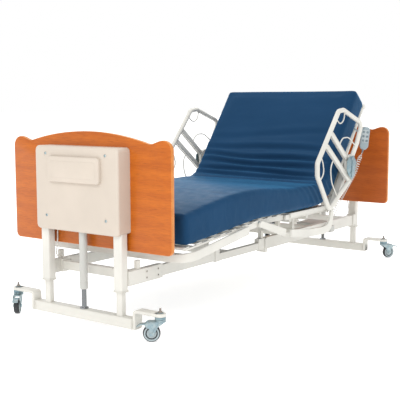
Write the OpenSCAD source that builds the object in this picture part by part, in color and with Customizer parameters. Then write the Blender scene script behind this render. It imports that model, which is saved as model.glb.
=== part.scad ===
// Adjustable hospital bed: two lifting ends on casters, an articulated deck, a mattress in four
// zones, pivoting assist rails and a wired handset. Millimetres. +X runs from the footboard to
// the headboard, +Z is up, and the origin is on the floor under the middle of the bed.

/* [Ends] */
// Width of the footboard and the headboard
board_w = 950; // [920:10:990]
// Thickness of the boards
board_t = 19; // [16:1:22]
// Distance from the footboard's outer face to the headboard's outer face
bed_l = 2234; // [2228:2:2250]
// Height of the boards' lower edge above the floor
board_low = 360; // [350:5:370]
// Height of the boards' crown above the floor
board_crown = 875; // [860:5:900]
// Width of the plastic cover on each end
cover_w = 500; // [500:5:520]
// Depth of the plastic cover
cover_d = 80; // [76:1:90]

/* [Base] */
// Distance between the middles of an end's two legs
leg_gap = 442; // [430:2:444]
// Distance between the swivel stems of an end's two casters
stem_gap = 874; // [860:2:880]
// Diameter of a caster wheel
wheel_d = 75; // [72:1:78]
// Width of a caster wheel
wheel_w = 25; // [22:1:28]
// Distance that a caster wheel trails behind its swivel stem
trail = 37; // [34:1:40]

/* [Deck] */
// Height of the level deck's upper face above the floor
deck_z = 424; // [420:1:430]
// Rise of the back section at rest, in degrees
back_rest = 52.1; // [50:0.1:54]
// Rise of the thigh section at rest, in degrees
thigh_rest = 0.8; // [0.5:0.1:2]
// Fall of the foot section at rest, in degrees
foot_rest = 4.8; // [4:0.1:6]
// Radius of the deck's side tubes
tube_r = 14; // [12:1:15]

/* [Mattress] */
// Width of the mattress
mattress_w = 920; // [900:10:930]
// Thickness of the mattress
mattress_t = 152; // [120:2:160]

/* [Assist rails] */
// Distance between the middles of the two rails
rail_gap = 1010; // [1006:2:1020]
// Radius of a rail's tube
rail_r = 13; // [11:1:14]

/* [Hidden] */

// colours
cream = [0.90, 0.89, 0.84];
beige = [0.84, 0.79, 0.74];
cherry = [0.80, 0.42, 0.13];
zinc = [0.66, 0.72, 0.75];
dark = [0.22, 0.23, 0.24];
navy = [0.13, 0.26, 0.42];
pendant_grey = [0.62, 0.68, 0.70];

// places of the ends
half_l = bed_l / 2;
leg_x = half_l + 36;            // middle of the legs, outside the boards
leg_y = leg_gap / 2;
stem_x = half_l + 34;
stem_y = stem_gap / 2;

// base: a cross beam with an upright and an arm at each end
beam_low = 33;
beam_top = 80;
beam_d = 44;
beam_half = 318;
arm_t = 14;
arm_w = 50;
arm_top = 122;

// legs: an inner tube slides in an outer tube on a plastic glide
inner_y = 34;
inner_x = 28;
inner_top = 650;
outer_y = 48;
outer_x = 42;
outer_low = 192;
outer_top = 775;
outer_wall = 4;

// lift actuators
lift_tube_r = 20;
lift_rod_r = 14;
lift_tube_low = 170;
lift_tube_top = 740;
rod_top = 620;

// covers
cover_low = 431;
cover_top = 810;
cover_wall = 4;
cover_round = 30;
plate_low = 651;
plate_high = 766;
plate_half = 155;
plate_t = 12;

// casters
wheel_r = wheel_d / 2;
axle_r = 4;
fork_gap = wheel_w + 4;
fork_t = 3;
swivel_low = 84;
swivel_top = 96;
turns = [127.7, 217.7, -32, 30];   // rest direction of each caster's trail
pedal_x = trail + 24;
pedal_z = 76;

// deck hinges: 18 below the deck's upper face
hinge_drop = 18;
hinge_z = deck_z - hinge_drop;
hip_x = 360;
seat_x = -85;
thigh_l = 291;
knee_x = seat_x - thigh_l * cos(thigh_rest);
knee_z = hinge_z + thigh_l * sin(thigh_rest);
back_l = 719;
foot_l = 625;
side_y = 428;                   // middle of the back section's side tubes
pin_r = 6;
bore_r = 6.05;
hip_open = 32.5;                // half of the greatest rise of the back section
thigh_open = 13;                // half of the greatest rise of the thigh section

// main frame
rail_y = 236;
rail_w = 28;
seam_x = 0;

// actuators of the deck
lever_l = 110;
act_z = 299;
back_act_y = -70;
knee_act_y = 90;
act_tube_r = 18;
act_rod_r = 11;

// assist rails: each pivots on a bracket beside the mattress
pivot_u = 252;
pivot_n = 69;
rail_lean = 6.8;                // turn of a rail away from the back section
rail_y_mid = rail_gap / 2;
pivot_r = 8;

// handset and its cord
pend_w = 50;
pend_l = 136;
pend_t = 25;
pend_at = [786, -458, 784];
pend_turn = 54;
pend_tilt = 13;
cord_r = 2.6;
coil_r = 11;
coil_top = [688, -458, 640];
coil_low = [704, -272, 262];
lead_path = [[763, -458, 716], [757, -458, 703], [741, -458, 687], [722, -458, 670],
             [703, -458, 653], [691.5, -458, 643]];
foot_lead_path = [[-1125, 188, 480], [-1125, 188, 420], [-1125, 190, 370], [-1124, 198, 325],
                  [-1118, 206, 302], [-1104, 210, 291], [-1088, 208, 294], [-1077, 206, 287],
                  [-1070, 206, 277]];
head_lead_path = [[1125, -188, 480], [1125, -188, 420], [1125, -190, 370], [1124, -198, 325],
                  [1114, -206, 292], [1096, -210, 276], [1076, -208, 264]];

// ---- general shapes ----

function unit(v) = v / norm(v);

// points round one bend of a path: an arc of radius rb in steps
function bend(a, b, c, rb, steps) =
    let (u = unit(a - b), v = unit(c - b), half = acos(u * v) / 2,
         centre = b + unit(u + v) * rb / sin(half), cut = rb / tan(half),
         p = b + u * cut, q = b + v * cut, e = unit(p - centre), w = q - centre,
         f = unit(w - (w * e) * e), total = 180 - 2 * half)
    [for (i = [0 : steps]) centre + rb * (cos(total * i / steps) * e + sin(total * i / steps) * f)];

// an open path with its inner corners rounded
function rounded(p, rb, steps = 6) =
    concat([p[0]], [for (i = [1 : len(p) - 2]) each bend(p[i - 1], p[i], p[i + 1], rb, steps)],
           [p[len(p) - 1]]);

// a closed path with every corner rounded
function rounded_loop(p, rb, steps = 5) =
    [for (i = [0 : len(p) - 1])
        each bend(p[(i + len(p) - 1) % len(p)], p[i], p[(i + 1) % len(p)], rb, steps)];

// ring of points round path point i; plane is the normal of the plane that the path lies in
function ring(path, i, r, sides, plane, closed) =
    let (n = len(path),
         before = closed ? path[(i + n - 1) % n] : path[max(i - 1, 0)],
         after = closed ? path[(i + 1) % n] : path[min(i + 1, n - 1)],
         t = unit(after - before), s = unit(cross(plane, t)), up = cross(t, s))
    [for (k = [0 : sides - 1])
        path[i] + r * (cos(360 * k / sides) * s + sin(360 * k / sides) * up)];

// a round tube of radius r swept along a path
module sweep(path, r, plane, sides = 12, closed = false) {
    n = len(path);
    points = [for (i = [0 : n - 1]) each ring(path, i, r, sides, plane, closed)];
    walls = [for (i = [0 : closed ? n - 1 : n - 2], k = [0 : sides - 1])
        let (j = (i + 1) % n, m = (k + 1) % sides)
        each [[i * sides + k, j * sides + k, j * sides + m], [i * sides + k, j * sides + m, i * sides + m]]];
    caps = closed ? [] : [[for (k = [0 : sides - 1]) k],
                          [for (k = [sides - 1 : -1 : 0]) (n - 1) * sides + k]];
    polyhedron(points, concat(walls, caps), convexity = 8);
}

// a block given by its lowest and highest corners
module block(a, b) { translate(a) cube(b - a); }

// a round bar along Y
module y_bar(x, z, r, y0, y1) {
    translate([x, y0, z]) rotate([-90, 0, 0]) cylinder(r = r, h = y1 - y0, $fn = 48);
}

// a round bar along X
module x_bar(y, z, r, x0, x1) {
    translate([x0, y, z]) rotate([0, 90, 0]) cylinder(r = r, h = x1 - x0, $fn = 48);
}

// a round bar between two points
module rod(a, b, r) {
    d = b - a;
    translate(a) rotate([0, acos(d[2] / norm(d)), atan2(d[1], d[0])])
        cylinder(r = r, h = norm(d), $fn = 48);
}

module both_sides() { children(); mirror([0, 1, 0]) children(); }
module head_end() { mirror([1, 0, 0]) children(); }

// a slab standing on its outline in the XZ plane, y0 to y1
module xz_slab(points, y0, y1) {
    translate([0, y1, 0]) rotate([90, 0, 0]) linear_extrude(y1 - y0) polygon(points);
}

// places on the deck's sections, each with its hinge at the origin and the deck level
module on_back() { translate([hip_x, 0, hinge_z]) rotate([0, -back_rest, 0]) children(); }
module on_thigh() { translate([seat_x, 0, hinge_z]) rotate([0, thigh_rest, 0]) children(); }
module on_foot() { translate([knee_x, 0, knee_z]) rotate([0, -foot_rest, 0]) children(); }

// ---- bases ----

module base_beam() {
    color(cream) {
        block([-leg_x - beam_d / 2, -beam_half, beam_low], [-leg_x + beam_d / 2, beam_half, beam_top]);
        both_sides() {
            block([-stem_x - arm_w / 2, beam_half - arm_t, beam_low],
                  [-stem_x + arm_w / 2, beam_half, arm_top]);
            block([-stem_x - arm_w / 2, beam_half - arm_t, arm_top - arm_t],
                  [-stem_x + arm_w / 2, stem_y, arm_top]);
            translate([-stem_x, stem_y, arm_top - arm_t]) cylinder(r = arm_w / 2, h = arm_t, $fn = 64);
            block([-leg_x - inner_x / 2, leg_y - inner_y / 2, beam_low + 10],
                  [-leg_x + inner_x / 2, leg_y + inner_y / 2, inner_top]);
        }
    }
}

module lift_rod() {
    color(zinc) translate([-leg_x, 0, beam_top]) {
        cylinder(r = lift_rod_r, h = rod_top - beam_top, $fn = 48);
        cylinder(r = lift_tube_r, h = 7, $fn = 48);
    }
}

module caster_stems() {
    color(zinc) both_sides() translate([-stem_x, stem_y, 0]) {
        translate([0, 0, arm_top]) cylinder(r = 10, h = 8, $fn = 6);
        translate([0, 0, arm_top]) cylinder(r = 5, h = 22, $fn = 32);
        translate([0, 0, swivel_top + 0.5]) cylinder(r = 24, h = arm_top - arm_t - swivel_top - 0.5, $fn = 48);
    }
}

// ---- casters: the trail runs along +X before each is turned to its rest direction ----

module at_caster(i) {
    sx = i < 2 ? -1 : 1;
    sy = i % 2 == 0 ? -1 : 1;
    translate([sx * stem_x, sy * stem_y, 0]) rotate([0, 0, turns[i]]) children();
}

module caster_fork(i) {
    inner = fork_gap / 2;
    color(zinc) at_caster(i) {
        translate([0, 0, swivel_low]) cylinder(r = 23, h = swivel_top - swivel_low, $fn = 48);
        block([0, -inner - fork_t, swivel_low], [trail + 14, inner + fork_t, swivel_low + 6]);
        both_sides() xz_slab([[-14, swivel_low + 6], [-12, swivel_low - 16], [trail - 11, wheel_r - 8],
            [trail + 3, wheel_r - 11], [trail + 12, wheel_r - 2], [trail + 28, pedal_z - 6],
            [trail + 28, swivel_low - 6], [trail + 14, swivel_low + 6]], inner, inner + fork_t);
        y_bar(trail, wheel_r, axle_r, -inner - fork_t - 4, inner + fork_t + 4);
    }
}

module caster_wheel(i) {
    hub_r = axle_r + 0.08;
    color(dark) at_caster(i) translate([trail, 0, wheel_r]) rotate([90, 0, 0])
        rotate_extrude($fn = 96) polygon([
            [hub_r, -wheel_w / 2 - 1], [12, -wheel_w / 2 - 1], [14, -wheel_w / 2 + 5],
            [wheel_r - 11, -wheel_w / 2 + 5], [wheel_r - 10, -wheel_w / 2],
            [wheel_r - 4, -wheel_w / 2], [wheel_r - 1, -wheel_w / 2 + 3], [wheel_r, -wheel_w / 4],
            [wheel_r, wheel_w / 4], [wheel_r - 1, wheel_w / 2 - 3], [wheel_r - 4, wheel_w / 2],
            [wheel_r - 10, wheel_w / 2], [wheel_r - 11, wheel_w / 2 - 5],
            [14, wheel_w / 2 - 5], [12, wheel_w / 2 + 1], [hub_r, wheel_w / 2 + 1]]);
}

module brake_pedal(i) {
    inner = fork_gap / 2 - 1;
    color(zinc) at_caster(i) {
        y_bar(pedal_x, pedal_z, 4, -inner, inner);
        xz_slab([[pedal_x, pedal_z + 1], [pedal_x + 1, pedal_z + 5], [pedal_x + 24, pedal_z + 2],
            [pedal_x + 40, pedal_z - 8], [pedal_x + 38, pedal_z - 11], [pedal_x + 23, pedal_z - 2],
            [pedal_x + 1, pedal_z - 1]], -inner, inner);
    }
}

// ---- ends ----

module outer_legs() {
    color(cream) {
        both_sides() translate([-leg_x, leg_y, 0]) {
            difference() {
                block([-outer_x / 2, -outer_y / 2, outer_low], [outer_x / 2, outer_y / 2, outer_top]);
                block([-outer_x / 2 + outer_wall, -outer_y / 2 + outer_wall, outer_low - 1],
                      [outer_x / 2 - outer_wall, outer_y / 2 - outer_wall, outer_top - 8]);
            }
            for (z = [500, 700])
                block([outer_x / 2, -outer_y / 2, z], [leg_x - half_l, outer_y / 2, z + 40]);
        }
        block([-leg_x - outer_x / 2, -leg_y + outer_y / 2, lift_tube_top],
              [-leg_x + outer_x / 2, leg_y - outer_y / 2, outer_top]);
    }
}

module glide() {
    difference() {
        union() {
            block([-outer_x / 2 - 1, -outer_y / 2 - 1, outer_low - 8],
                  [outer_x / 2 + 1, outer_y / 2 + 1, outer_low]);
            block([-outer_x / 2 + outer_wall, -outer_y / 2 + outer_wall, outer_low],
                  [outer_x / 2 - outer_wall, outer_y / 2 - outer_wall, outer_low + 40]);
        }
        block([-inner_x / 2 - 0.3, -inner_y / 2 - 0.3, outer_low - 20],
              [inner_x / 2 + 0.3, inner_y / 2 + 0.3, outer_low + 60]);
    }
}

module leg_glides() {
    color(beige) for (sx = [-1, 1], sy = [-1, 1]) translate([sx * leg_x, sy * leg_y, 0]) glide();
}

module lift_motor() {
    color(beige) {
        difference() {
            translate([-leg_x, 0, lift_tube_low]) cylinder(r = lift_tube_r, h = lift_tube_top - lift_tube_low, $fn = 64);
            translate([-leg_x, 0, lift_tube_low - 1])
                cylinder(r = lift_rod_r + 0.3, h = lift_tube_top - lift_tube_low - 20, $fn = 64);
        }
        difference() {
            block([-leg_x - 24, -30, 640], [-leg_x + 24, 110, 700]);
            translate([-leg_x, 0, 630]) cylinder(r = lift_tube_r - 1, h = 90, $fn = 64);
        }
        translate([-leg_x, 85, 560]) cylinder(r = 22, h = 81, $fn = 64);
    }
}

// the boards' upper edge: a shallow crown, a dip on each side and a rounded shoulder
crown_r = 1350;
dip_y = 0.375 * board_w;
shoulder_y = board_w / 2 - 45;
shoulder_rise = 17;
corner_r = 25;
function crown(y) = board_crown - crown_r + sqrt(crown_r * crown_r - y * y);
function board_top(y) =
    let (a = abs(y), dip = crown(dip_y))
    a <= dip_y ? crown(a)
    : a <= shoulder_y ? dip + shoulder_rise * (0.5 - 0.5 * cos(180 * (a - dip_y) / (shoulder_y - dip_y)))
    : dip + shoulder_rise - 45 + sqrt(max(0, 45 * 45 - (a - shoulder_y) * (a - shoulder_y)));

module board() {
    w = board_w / 2;
    top = [for (i = [-48 : 48]) let (y = w * sin(90 * i / 48)) [y, board_top(y)]];
    low = [for (s = [1, -1], i = [0 : 6]) let (a = s > 0 ? -90 * i / 6 : -90 - 90 * i / 6)
        [s * (w - corner_r) + corner_r * cos(a), board_low + corner_r + corner_r * sin(a)]];
    color(cherry) translate([-half_l, 0, 0]) rotate([90, 0, 90]) linear_extrude(board_t)
        polygon(concat(top, low));
}

// a plate with round corners, standing in the YZ plane
module yz_plate(x0, x1, half_y, z0, z1, r) {
    translate([x0, 0, 0]) rotate([90, 0, 90]) linear_extrude(x1 - x0) {
        translate([-half_y + r, z0]) square([2 * half_y - 2 * r, z1 - z0]);
        translate([-half_y, z0 + r]) square([2 * half_y, z1 - z0 - 2 * r]);
        for (y = [-half_y + r, half_y - r], z = [z0 + r, z1 - r]) translate([y, z]) circle(r = r, $fn = 64);
    }
}

module cover() {
    front = -half_l - cover_d;
    w = cover_w / 2;
    color(beige) difference() {
        yz_plate(front, -half_l, w, cover_low, cover_top, cover_round);
        yz_plate(front + cover_wall, -half_l + 1, w - cover_wall, cover_low + cover_wall,
                 cover_top - cover_wall, cover_round - cover_wall);
        block([front + 2 * cover_wall, -leg_y - outer_y / 2 - 1, cover_low - 1],
              [-half_l + 1, leg_y + outer_y / 2 + 1, cover_low + cover_round]);
    }
}

module cover_plate() {
    front = -half_l - cover_d;
    color(beige) yz_plate(front - plate_t, front, plate_half, plate_low, plate_high, 16);
}

module cover_screw_set() {
    front = -half_l - cover_d;
    color(zinc) for (y = [-180, 180], z = [496, 776])
        translate([front - 3, y, z]) rotate([0, 90, 0]) cylinder(r = 5, h = 3, $fn = 32);
}

// ---- main frame ----

// side rails with a slim stretch, which end in a flange at the seam
seam_bolt_y = rail_y - 25;
seam_bolts = [214, 244];

// a flange from x0 to x1 with holes for the clamp bolts
module seam_flange(x0, x1) {
    difference() {
        block([x0, rail_y - 36, 191], [x1, rail_y + 18, 267]);
        for (z = seam_bolts) x_bar(seam_bolt_y, z, 5.2, x0 - 1, x1 + 1);
    }
}

module foot_half_frame() {
    sleeve_end = -899;
    slim_end = -477;
    color(cream) {
        both_sides() difference() {
            union() {
                block([-leg_x + outer_x / 2, rail_y - rail_w / 2, 209], [sleeve_end, rail_y + rail_w / 2, 272]);
                block([sleeve_end - 40, rail_y - rail_w / 2 + 3, 216], [slim_end + 40, rail_y + rail_w / 2 - 3, 266]);
                block([slim_end, rail_y - rail_w / 2, 211], [-441, rail_y + rail_w / 2, 270]);
                block([-460, rail_y - rail_w / 2 + 1, 213], [-60, rail_y + rail_w / 2 - 1, 249]);
                block([-70, rail_y - rail_w / 2, 208], [seam_x - 9, rail_y + rail_w / 2, 270]);
                block([-1080, rail_y - 30, 210], [-1040, rail_y - rail_w / 2 + 1, 271]);
                block([-1072, rail_y - 8, 271], [-1048, rail_y + 8, 312]);
            }
            for (x = [-1010, -930], z = [226, 255]) y_bar(x, z, 4.5, rail_y - 20, rail_y + 20);
        }
        both_sides() seam_flange(seam_x - 10, seam_x);
        for (x = [-1060, -620]) block([x - 15, -rail_y + 11, 222], [x + 15, rail_y - 11, 262]);
        block([-345, -rail_y + 11, 217], [-315, rail_y - 11, 245]);
        block([-344, back_act_y - 26, 244], [-316, back_act_y + 26, 276]);
    }
}

module head_half_frame() {
    color(cream) {
        both_sides() {
            seam_flange(seam_x, seam_x + 10);
            block([seam_x + 9, rail_y - rail_w / 2, 207], [leg_x - outer_x / 2, rail_y + rail_w / 2, 270]);
            block([1080, rail_y - 20, 200], [1095, rail_y + 20, 276]);
        }
        for (x = [385, 560, 1040])
            block([x - 15, -rail_y + rail_w / 2 - 1, 222], [x + 15, rail_y - rail_w / 2 + 1, 262]);
        block([371, knee_act_y - 26, 261], [399, knee_act_y + 26, 276]);
    }
}

// clamp bolts that hold the two half frames together at the seam, two on each side
module frame_couplers() {
    color(zinc) both_sides() for (z = seam_bolts) {
        x_bar(seam_bolt_y, z, 5, seam_x - 22, seam_x + 22);
        for (x = [seam_x - 16.2, seam_x + 10.2])
            translate([x, seam_bolt_y, z]) rotate([0, 90, 0]) cylinder(r = 8, h = 6, $fn = 6);
    }
}

// parts that are welded together stand this far apart, so that each stays a plain solid
weld = 0.2;

// a flat bar on each side that carries the hip hinge at its upturned end
module side_bar() {
    low_line = [[-99, 306], [104, 282], [250, 276], [318, 280], [352, 302], [370, 340], [378, 392]];
    high_line = [[342, 392], [334, 356], [318, 332], [290, 320], [250, 317], [104, 323], [-99, 346]];
    translate([0, 467, 0]) rotate([90, 0, 0]) linear_extrude(12) difference() {
        union() {
            polygon(concat(low_line, high_line));
            translate([hip_x, hinge_z]) circle(r = 18, $fn = 64);
        }
        translate([hip_x, hinge_z]) circle(r = pin_r + 0.1, $fn = 48);
    }
}

module seat_frame() {
    posts = [-30, 150, 310];
    pan_end = 335;
    color(cream) {
        both_sides() {
            block([seat_x - 12, 419, hinge_z - 15], [hip_x + 12, 431, hinge_z + 12 - weld]);
            y_bar(hip_x, hinge_z, pin_r, 430, 466);
            y_bar(seat_x, hinge_z, pin_r, 402, 420);
            side_bar();
            for (x = posts) block([x - 12, rail_y - 10, 270], [x + 12, rail_y + 10, 373 - weld]);
            y_bar(-30, 318, 9, rail_y + 10 + weld, 455 - weld);
            y_bar(150, 299, 9, rail_y + 10 + weld, 455 - weld);
            block([-54 + weld, 434, deck_z - 24], [pan_end - 6 - weld, 440, deck_z - 6 - weld]);
        }
        for (x = posts) {
            block([x - 12, -419 + weld, 373], [x + 12, 419 - weld, 396]);
            block([x - 10, -419 + weld, 396 + weld], [x + 14, 419 - weld, deck_z - 6 - weld]);
        }
        block([-60, -440, deck_z - 6], [pan_end, 440, deck_z]);
        for (x = [-60, pan_end - 6]) block([x, -440, deck_z - 24], [x + 6, 440, deck_z - 6 - weld]);
    }
}

// ---- actuators of the deck ----

// tube along X with a motor at the end that ends at x0; dir is +1 when the rod leaves towards +X
module deck_motor(x0, x1, y, dir) {
    low = min(x0, x1);
    high = max(x0, x1);
    color(dark) difference() {
        union() {
            x_bar(y, act_z, act_tube_r, low, high);
            block([x0 - 35, y - 24, act_z - 23], [x0 + 35, y + 24, act_z + 24]);
            x_bar(y + 47, act_z, 20, x0 - 42, x0 + 75);
            block([x0 - 28, y + 20, act_z - 14], [x0 + 28, y + 44, act_z + 14]);
        }
        x_bar(y, act_z, act_rod_r + 0.3, dir > 0 ? x0 + 40 : low - 1, dir > 0 ? high + 1 : x0 - 40);
    }
}

// sliding rod with a clevis whose ears stand clear of the lever between them
module deck_rod(x0, x1, y, dir) {
    color(zinc) {
        x_bar(y, act_z, act_rod_r, min(x0, x1), max(x0, x1));
        a = dir > 0 ? x1 - 1 : x1 - 14;
        block([a, y - 18, act_z - 12], [a + 15, y + 18, act_z + 12]);
        for (s = [-1, 1]) {
            e0 = y + s * 13 - 5;
            block([dir > 0 ? x1 : x1 - 48, e0, act_z - 12], [dir > 0 ? x1 + 48 : x1, e0 + 10, act_z + 12]);
        }
    }
}

back_tube_x = 246;
back_clevis_x = 363.5;
knee_tube_x = 25;
knee_clevis_x = -29;

module back_motor() { deck_motor(-310, back_tube_x, back_act_y, 1); }
module back_rod() { deck_rod(121, back_clevis_x, back_act_y, 1); }
module knee_motor() { deck_motor(385, knee_tube_x, knee_act_y, -1); }
module knee_rod() { deck_rod(190, knee_clevis_x, knee_act_y, -1); }

module control_box() {
    color(dark) {
        block([630, -rail_y + rail_w / 2, 216], [790, -90, 268]);
        block([678, -296, 214], [730, -rail_y - rail_w / 2, 252]);
        rod(coil_low, coil_low + 20 * unit(coil_low - coil_top), 9);
    }
}

module lift_leads() {
    color(beige) {
        sweep(foot_lead_path, 3, [0.3, 1, 0.1], sides = 8);
        sweep(head_lead_path, 3, [0.3, 1, 0.1], sides = 8);
    }
}

// ---- deck sections ----

slat_t = 6;
slat_w = 40;
slat_low = hinge_drop - slat_t;
tube_n = slat_low - tube_r - weld;

module back_frame() {
    inside = side_y - tube_r - weld;
    color(cream) on_back() {
        both_sides() {
            x_bar(-side_y, tube_n, tube_r, 40, back_l - tube_r - weld);
            difference() {
                block([-20, 433, -14], [40 - weld, 441, 11]);
                y_bar(0, 0, bore_r, 430, 442);
            }
        }
        y_bar(back_l, tube_n, tube_r, -side_y - tube_r, side_y + tube_r);
        for (u = [100 : 97 : 682])
            block([u - slat_w / 2, -side_y - 8, slat_low], [u + slat_w / 2, side_y + 8, hinge_drop]);
        y_bar(60, -6, 12, -inside, inside);
        xz_slab([[48, -18 - weld], [72, -18 - weld],
                 [-lever_l * sin(hip_open) + 12, -lever_l * cos(hip_open) - 8],
                 [-lever_l * sin(hip_open) - 12, -lever_l * cos(hip_open) + 8]],
                back_act_y - 5, back_act_y + 5);
    }
}

// a foot along the side tube, and an upright beside the mattress that carries the rail's pivot
module rail_brackets() {
    foot_y = side_y + tube_r + weld;
    color(cream) on_back() both_sides() {
        block([24, foot_y, -16], [pivot_u + 48, 476, 14]);
        block([pivot_u - 34, 475, -15], [pivot_u + 34, rail_y_mid - rail_r - 3, pivot_n + 20]);
        y_bar(pivot_u, pivot_n, pivot_r, 480, rail_y_mid + 12);
    }
}

module thigh_frame() {
    color(cream) on_thigh() {
        difference() {
            union() {
                both_sides() block([-thigh_l - 12, 404, -14], [12, 416, slat_low]);
                for (x = [-40, -250]) y_bar(x, -8, 11, -414, 414);
                for (x = [-60, -150, -240])
                    block([x - 20, -416, slat_low], [x + 20, 416, hinge_drop]);
            }
            both_sides() y_bar(0, 0, bore_r, 400, 418);
        }
        both_sides() {
            y_bar(-thigh_l, 0, pin_r, 414, 441);
            y_bar(-190, -19, 8, 408, 444);
            xz_slab([[-303, -16], [-300, 2], [-282, 11], [-41, -55], [-53, -93]], 442, 453);
        }
        xz_slab([[-54, -10], [-26, -10], [lever_l * sin(thigh_open) + 12, -lever_l * cos(thigh_open) + 8],
                 [lever_l * sin(thigh_open) - 8, -lever_l * cos(thigh_open) - 10]],
                knee_act_y - 5, knee_act_y + 5);
    }
}

// a flat bar on edge, bent round the foot of the section, seen from above with its open end at x0
module bent_bar(x0, x1, half_y, t, r) {
    difference() {
        union() {
            translate([x1, -half_y + r]) square([x0 - x1, 2 * half_y - 2 * r]);
            translate([x1 + r, -half_y]) square([x0 - x1 - r, 2 * half_y]);
            for (y = [-half_y + r, half_y - r]) translate([x1 + r, y]) circle(r = r, $fn = 96);
        }
        translate([x1 + t, -half_y + r]) square([x0 - x1, 2 * half_y - 2 * r]);
        translate([x1 + r, -half_y + t]) square([x0 - x1, 2 * half_y - 2 * t]);
        for (y = [-half_y + r, half_y - r]) translate([x1 + r, y]) circle(r = r - t, $fn = 96);
    }
}

module foot_frame() {
    bar_start = -121;
    color(cream) on_foot() {
        translate([bar_start, 0, -28]) rotate([0, -3, 0]) linear_extrude(40)
            bent_bar(0, -foot_l - bar_start, 462, 13, 90);
        both_sides() {
            difference() {
                block([-150, 428, -16], [12, 440, slat_low - weld]);
                y_bar(0, 0, bore_r, 425, 442);
            }
            block([-150, 440 + weld, -16], [-128, 449 - weld, slat_low - weld - 1]);
            block([-612, 436, 3], [-150 - weld, 448, slat_low - weld]);
        }
        for (u = [-602 : 94 : -38])
            block([u - slat_w / 2, -446, slat_low], [u + slat_w / 2, 446, hinge_drop]);
    }
}

// ---- assist rails, in the back section's places, with the pivot at the origin ----

rail_outline = [[-318, -10], [-280, 226], [-232, 277], [130, 299], [176, 262], [288, 36],
                [165, 0], [50, -10], [-39, -84]];
rail_bend = 36;
hub_half = 9;
module at_rail() {
    on_back() translate([pivot_u, -rail_y_mid, pivot_n]) rotate([0, rail_lean, 0]) children();
}
function in_plane(points, y = 0) = [for (p = points) [p[0], y, p[1]]];

// a flat bar between two points in the rail's plane
module post(a, b) {
    d = b - a;
    translate([a[0], 0, a[1]]) rotate([0, atan2(d[0], d[1]), 0])
        translate([-14, -8, 0]) cube([28, 16, norm(d)]);
}

// a thin round filler wire, a little off the middle of the rail's tube
module wire(points, rb) {
    sweep(rounded(in_plane(points, 1.2), rb, steps = 4), 3.5, [0, 1, 0], sides = 8);
}

module rail() {
    color(cream) at_rail() {
        sweep(rounded_loop(in_plane(rail_outline), rail_bend), rail_r, [0, 1, 0], closed = true);
        post([13, 24], [-19, 287]);
        post([-54, -64], [-104, 280]);
        difference() {
            xz_slab([[-58, -84], [-20, -84], [62, -20], [62, 22], [30, 36], [-4, 36], [-62, -30]],
                    -hub_half, hub_half);
            y_bar(0, 0, pivot_r + 0.06, -10, 10);
        }
        wire([[-2, 150], [62, 158], [120, 100], [146, -2]], 44);
        wire([[84, 294], [92, 234], [140, 212], [188, 242]], 20);
        wire([[-178, 278], [-186, 232], [-214, 178], [-286, 186]], 30);
        wire([[-84, 150], [-148, 144], [-194, 76], [-204, -36]], 46);
    }
}

module rail_latch() {
    color(zinc) at_rail() {
        xz_slab([[-52, -72], [-6, -84], [66, -14], [58, 34], [16, 44], [-60, -20]], -20, -17);
        for (p = [[-24, -40], [36, 16]]) y_bar(p[0], p[1], 8, -26, -19);
        for (p = [[-24, -40], [36, 16]]) y_bar(p[0], p[1], 6, -18, -hub_half);
    }
}

// ---- handset: upright, face towards -Y, before it is turned and tilted ----

module at_handset() {
    translate(pend_at) rotate([0, pend_tilt, 0]) rotate([0, 0, -pend_turn]) children();
}
key_r = 6.5;
key_travel = 1.5;
key_pitch = 26;

module handset() {
    top = pend_l / 2;
    color(pendant_grey) {
        at_handset() difference() {
            union() {
                translate([0, pend_t / 2, 0]) rotate([90, 0, 0]) linear_extrude(pend_t) union() {
                    translate([-pend_w / 2, -top + 22]) square([pend_w, pend_l - 34]);
                    translate([-pend_w / 2 + 12, top - 13]) square([pend_w - 24, 13]);
                    for (s = [-1, 1]) translate([s * (pend_w / 2 - 12), top - 12]) circle(r = 12, $fn = 48);
                    polygon([[-pend_w / 2, -top + 23], [-14, -top], [14, -top], [pend_w / 2, -top + 23]]);
                }
            }
            for (i = [0 : 5]) translate([(i % 2 * 2 - 1) * 11, 0, 36 - key_pitch * floor(i / 2)])
                y_bar(0, 0, key_r + 0.3, -pend_t / 2 - 1, -pend_t / 2 + 4);
        }
        rod(pend_at + [16, 0, pend_l / 2 - 3], pend_at + [-89.5, 12.4, 50.7], 2.2);
        on_back() translate([545, -side_y, tube_n]) rotate([0, 90, 0])
            rotate_extrude($fn = 64) translate([17.6, 0]) circle(r = 2.4, $fn = 24);
    }
}

module key(i) {
    color(dark) at_handset() translate([(i % 2 * 2 - 1) * 11, 0, 36 - key_pitch * floor(i / 2)])
        y_bar(0, 0, key_r, -pend_t / 2 - 1.8, -pend_t / 2 + 4 - key_travel - 0.2);
}

module handset_lead() { color(dark) sweep(lead_path, cord_r, [0, 1, 0], sides = 8); }
module curly_cord() { color(dark) rod(coil_top, coil_low, coil_r); }

// ---- mattress zones, each a closed block; ends that fold together are bevelled ----

module mattress_block(points) {
    color(navy) xz_slab(points, -mattress_w / 2, mattress_w / 2);
}
low = hinge_drop + 1;
high = low + mattress_t;

module mattress_back() {
    on_back() mattress_block([[low * tan(hip_open) + 1, low], [back_l + 11, low], [back_l + 11, high],
                              [high * tan(hip_open) + 1, high]]);
}

module mattress_seat() {
    mattress_block([[seat_x + low * tan(thigh_open) + 1, hinge_z + low], [hip_x - low * tan(hip_open) - 1, hinge_z + low],
                    [hip_x - high * tan(hip_open) - 1, hinge_z + high],
                    [seat_x + high * tan(thigh_open) + 1, hinge_z + high]]);
}

module mattress_thigh() {
    on_thigh() mattress_block([[-low * tan(thigh_open) - 1, low], [-high * tan(thigh_open) - 1, high],
                               [-thigh_l + 1, high], [-thigh_l + 1, low]]);
}

module mattress_foot() {
    on_foot() mattress_block([[-1, low], [-1, high], [-foot_l + 9, high], [-foot_l + 9, low]]);
}

// ---- drawing ----

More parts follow.
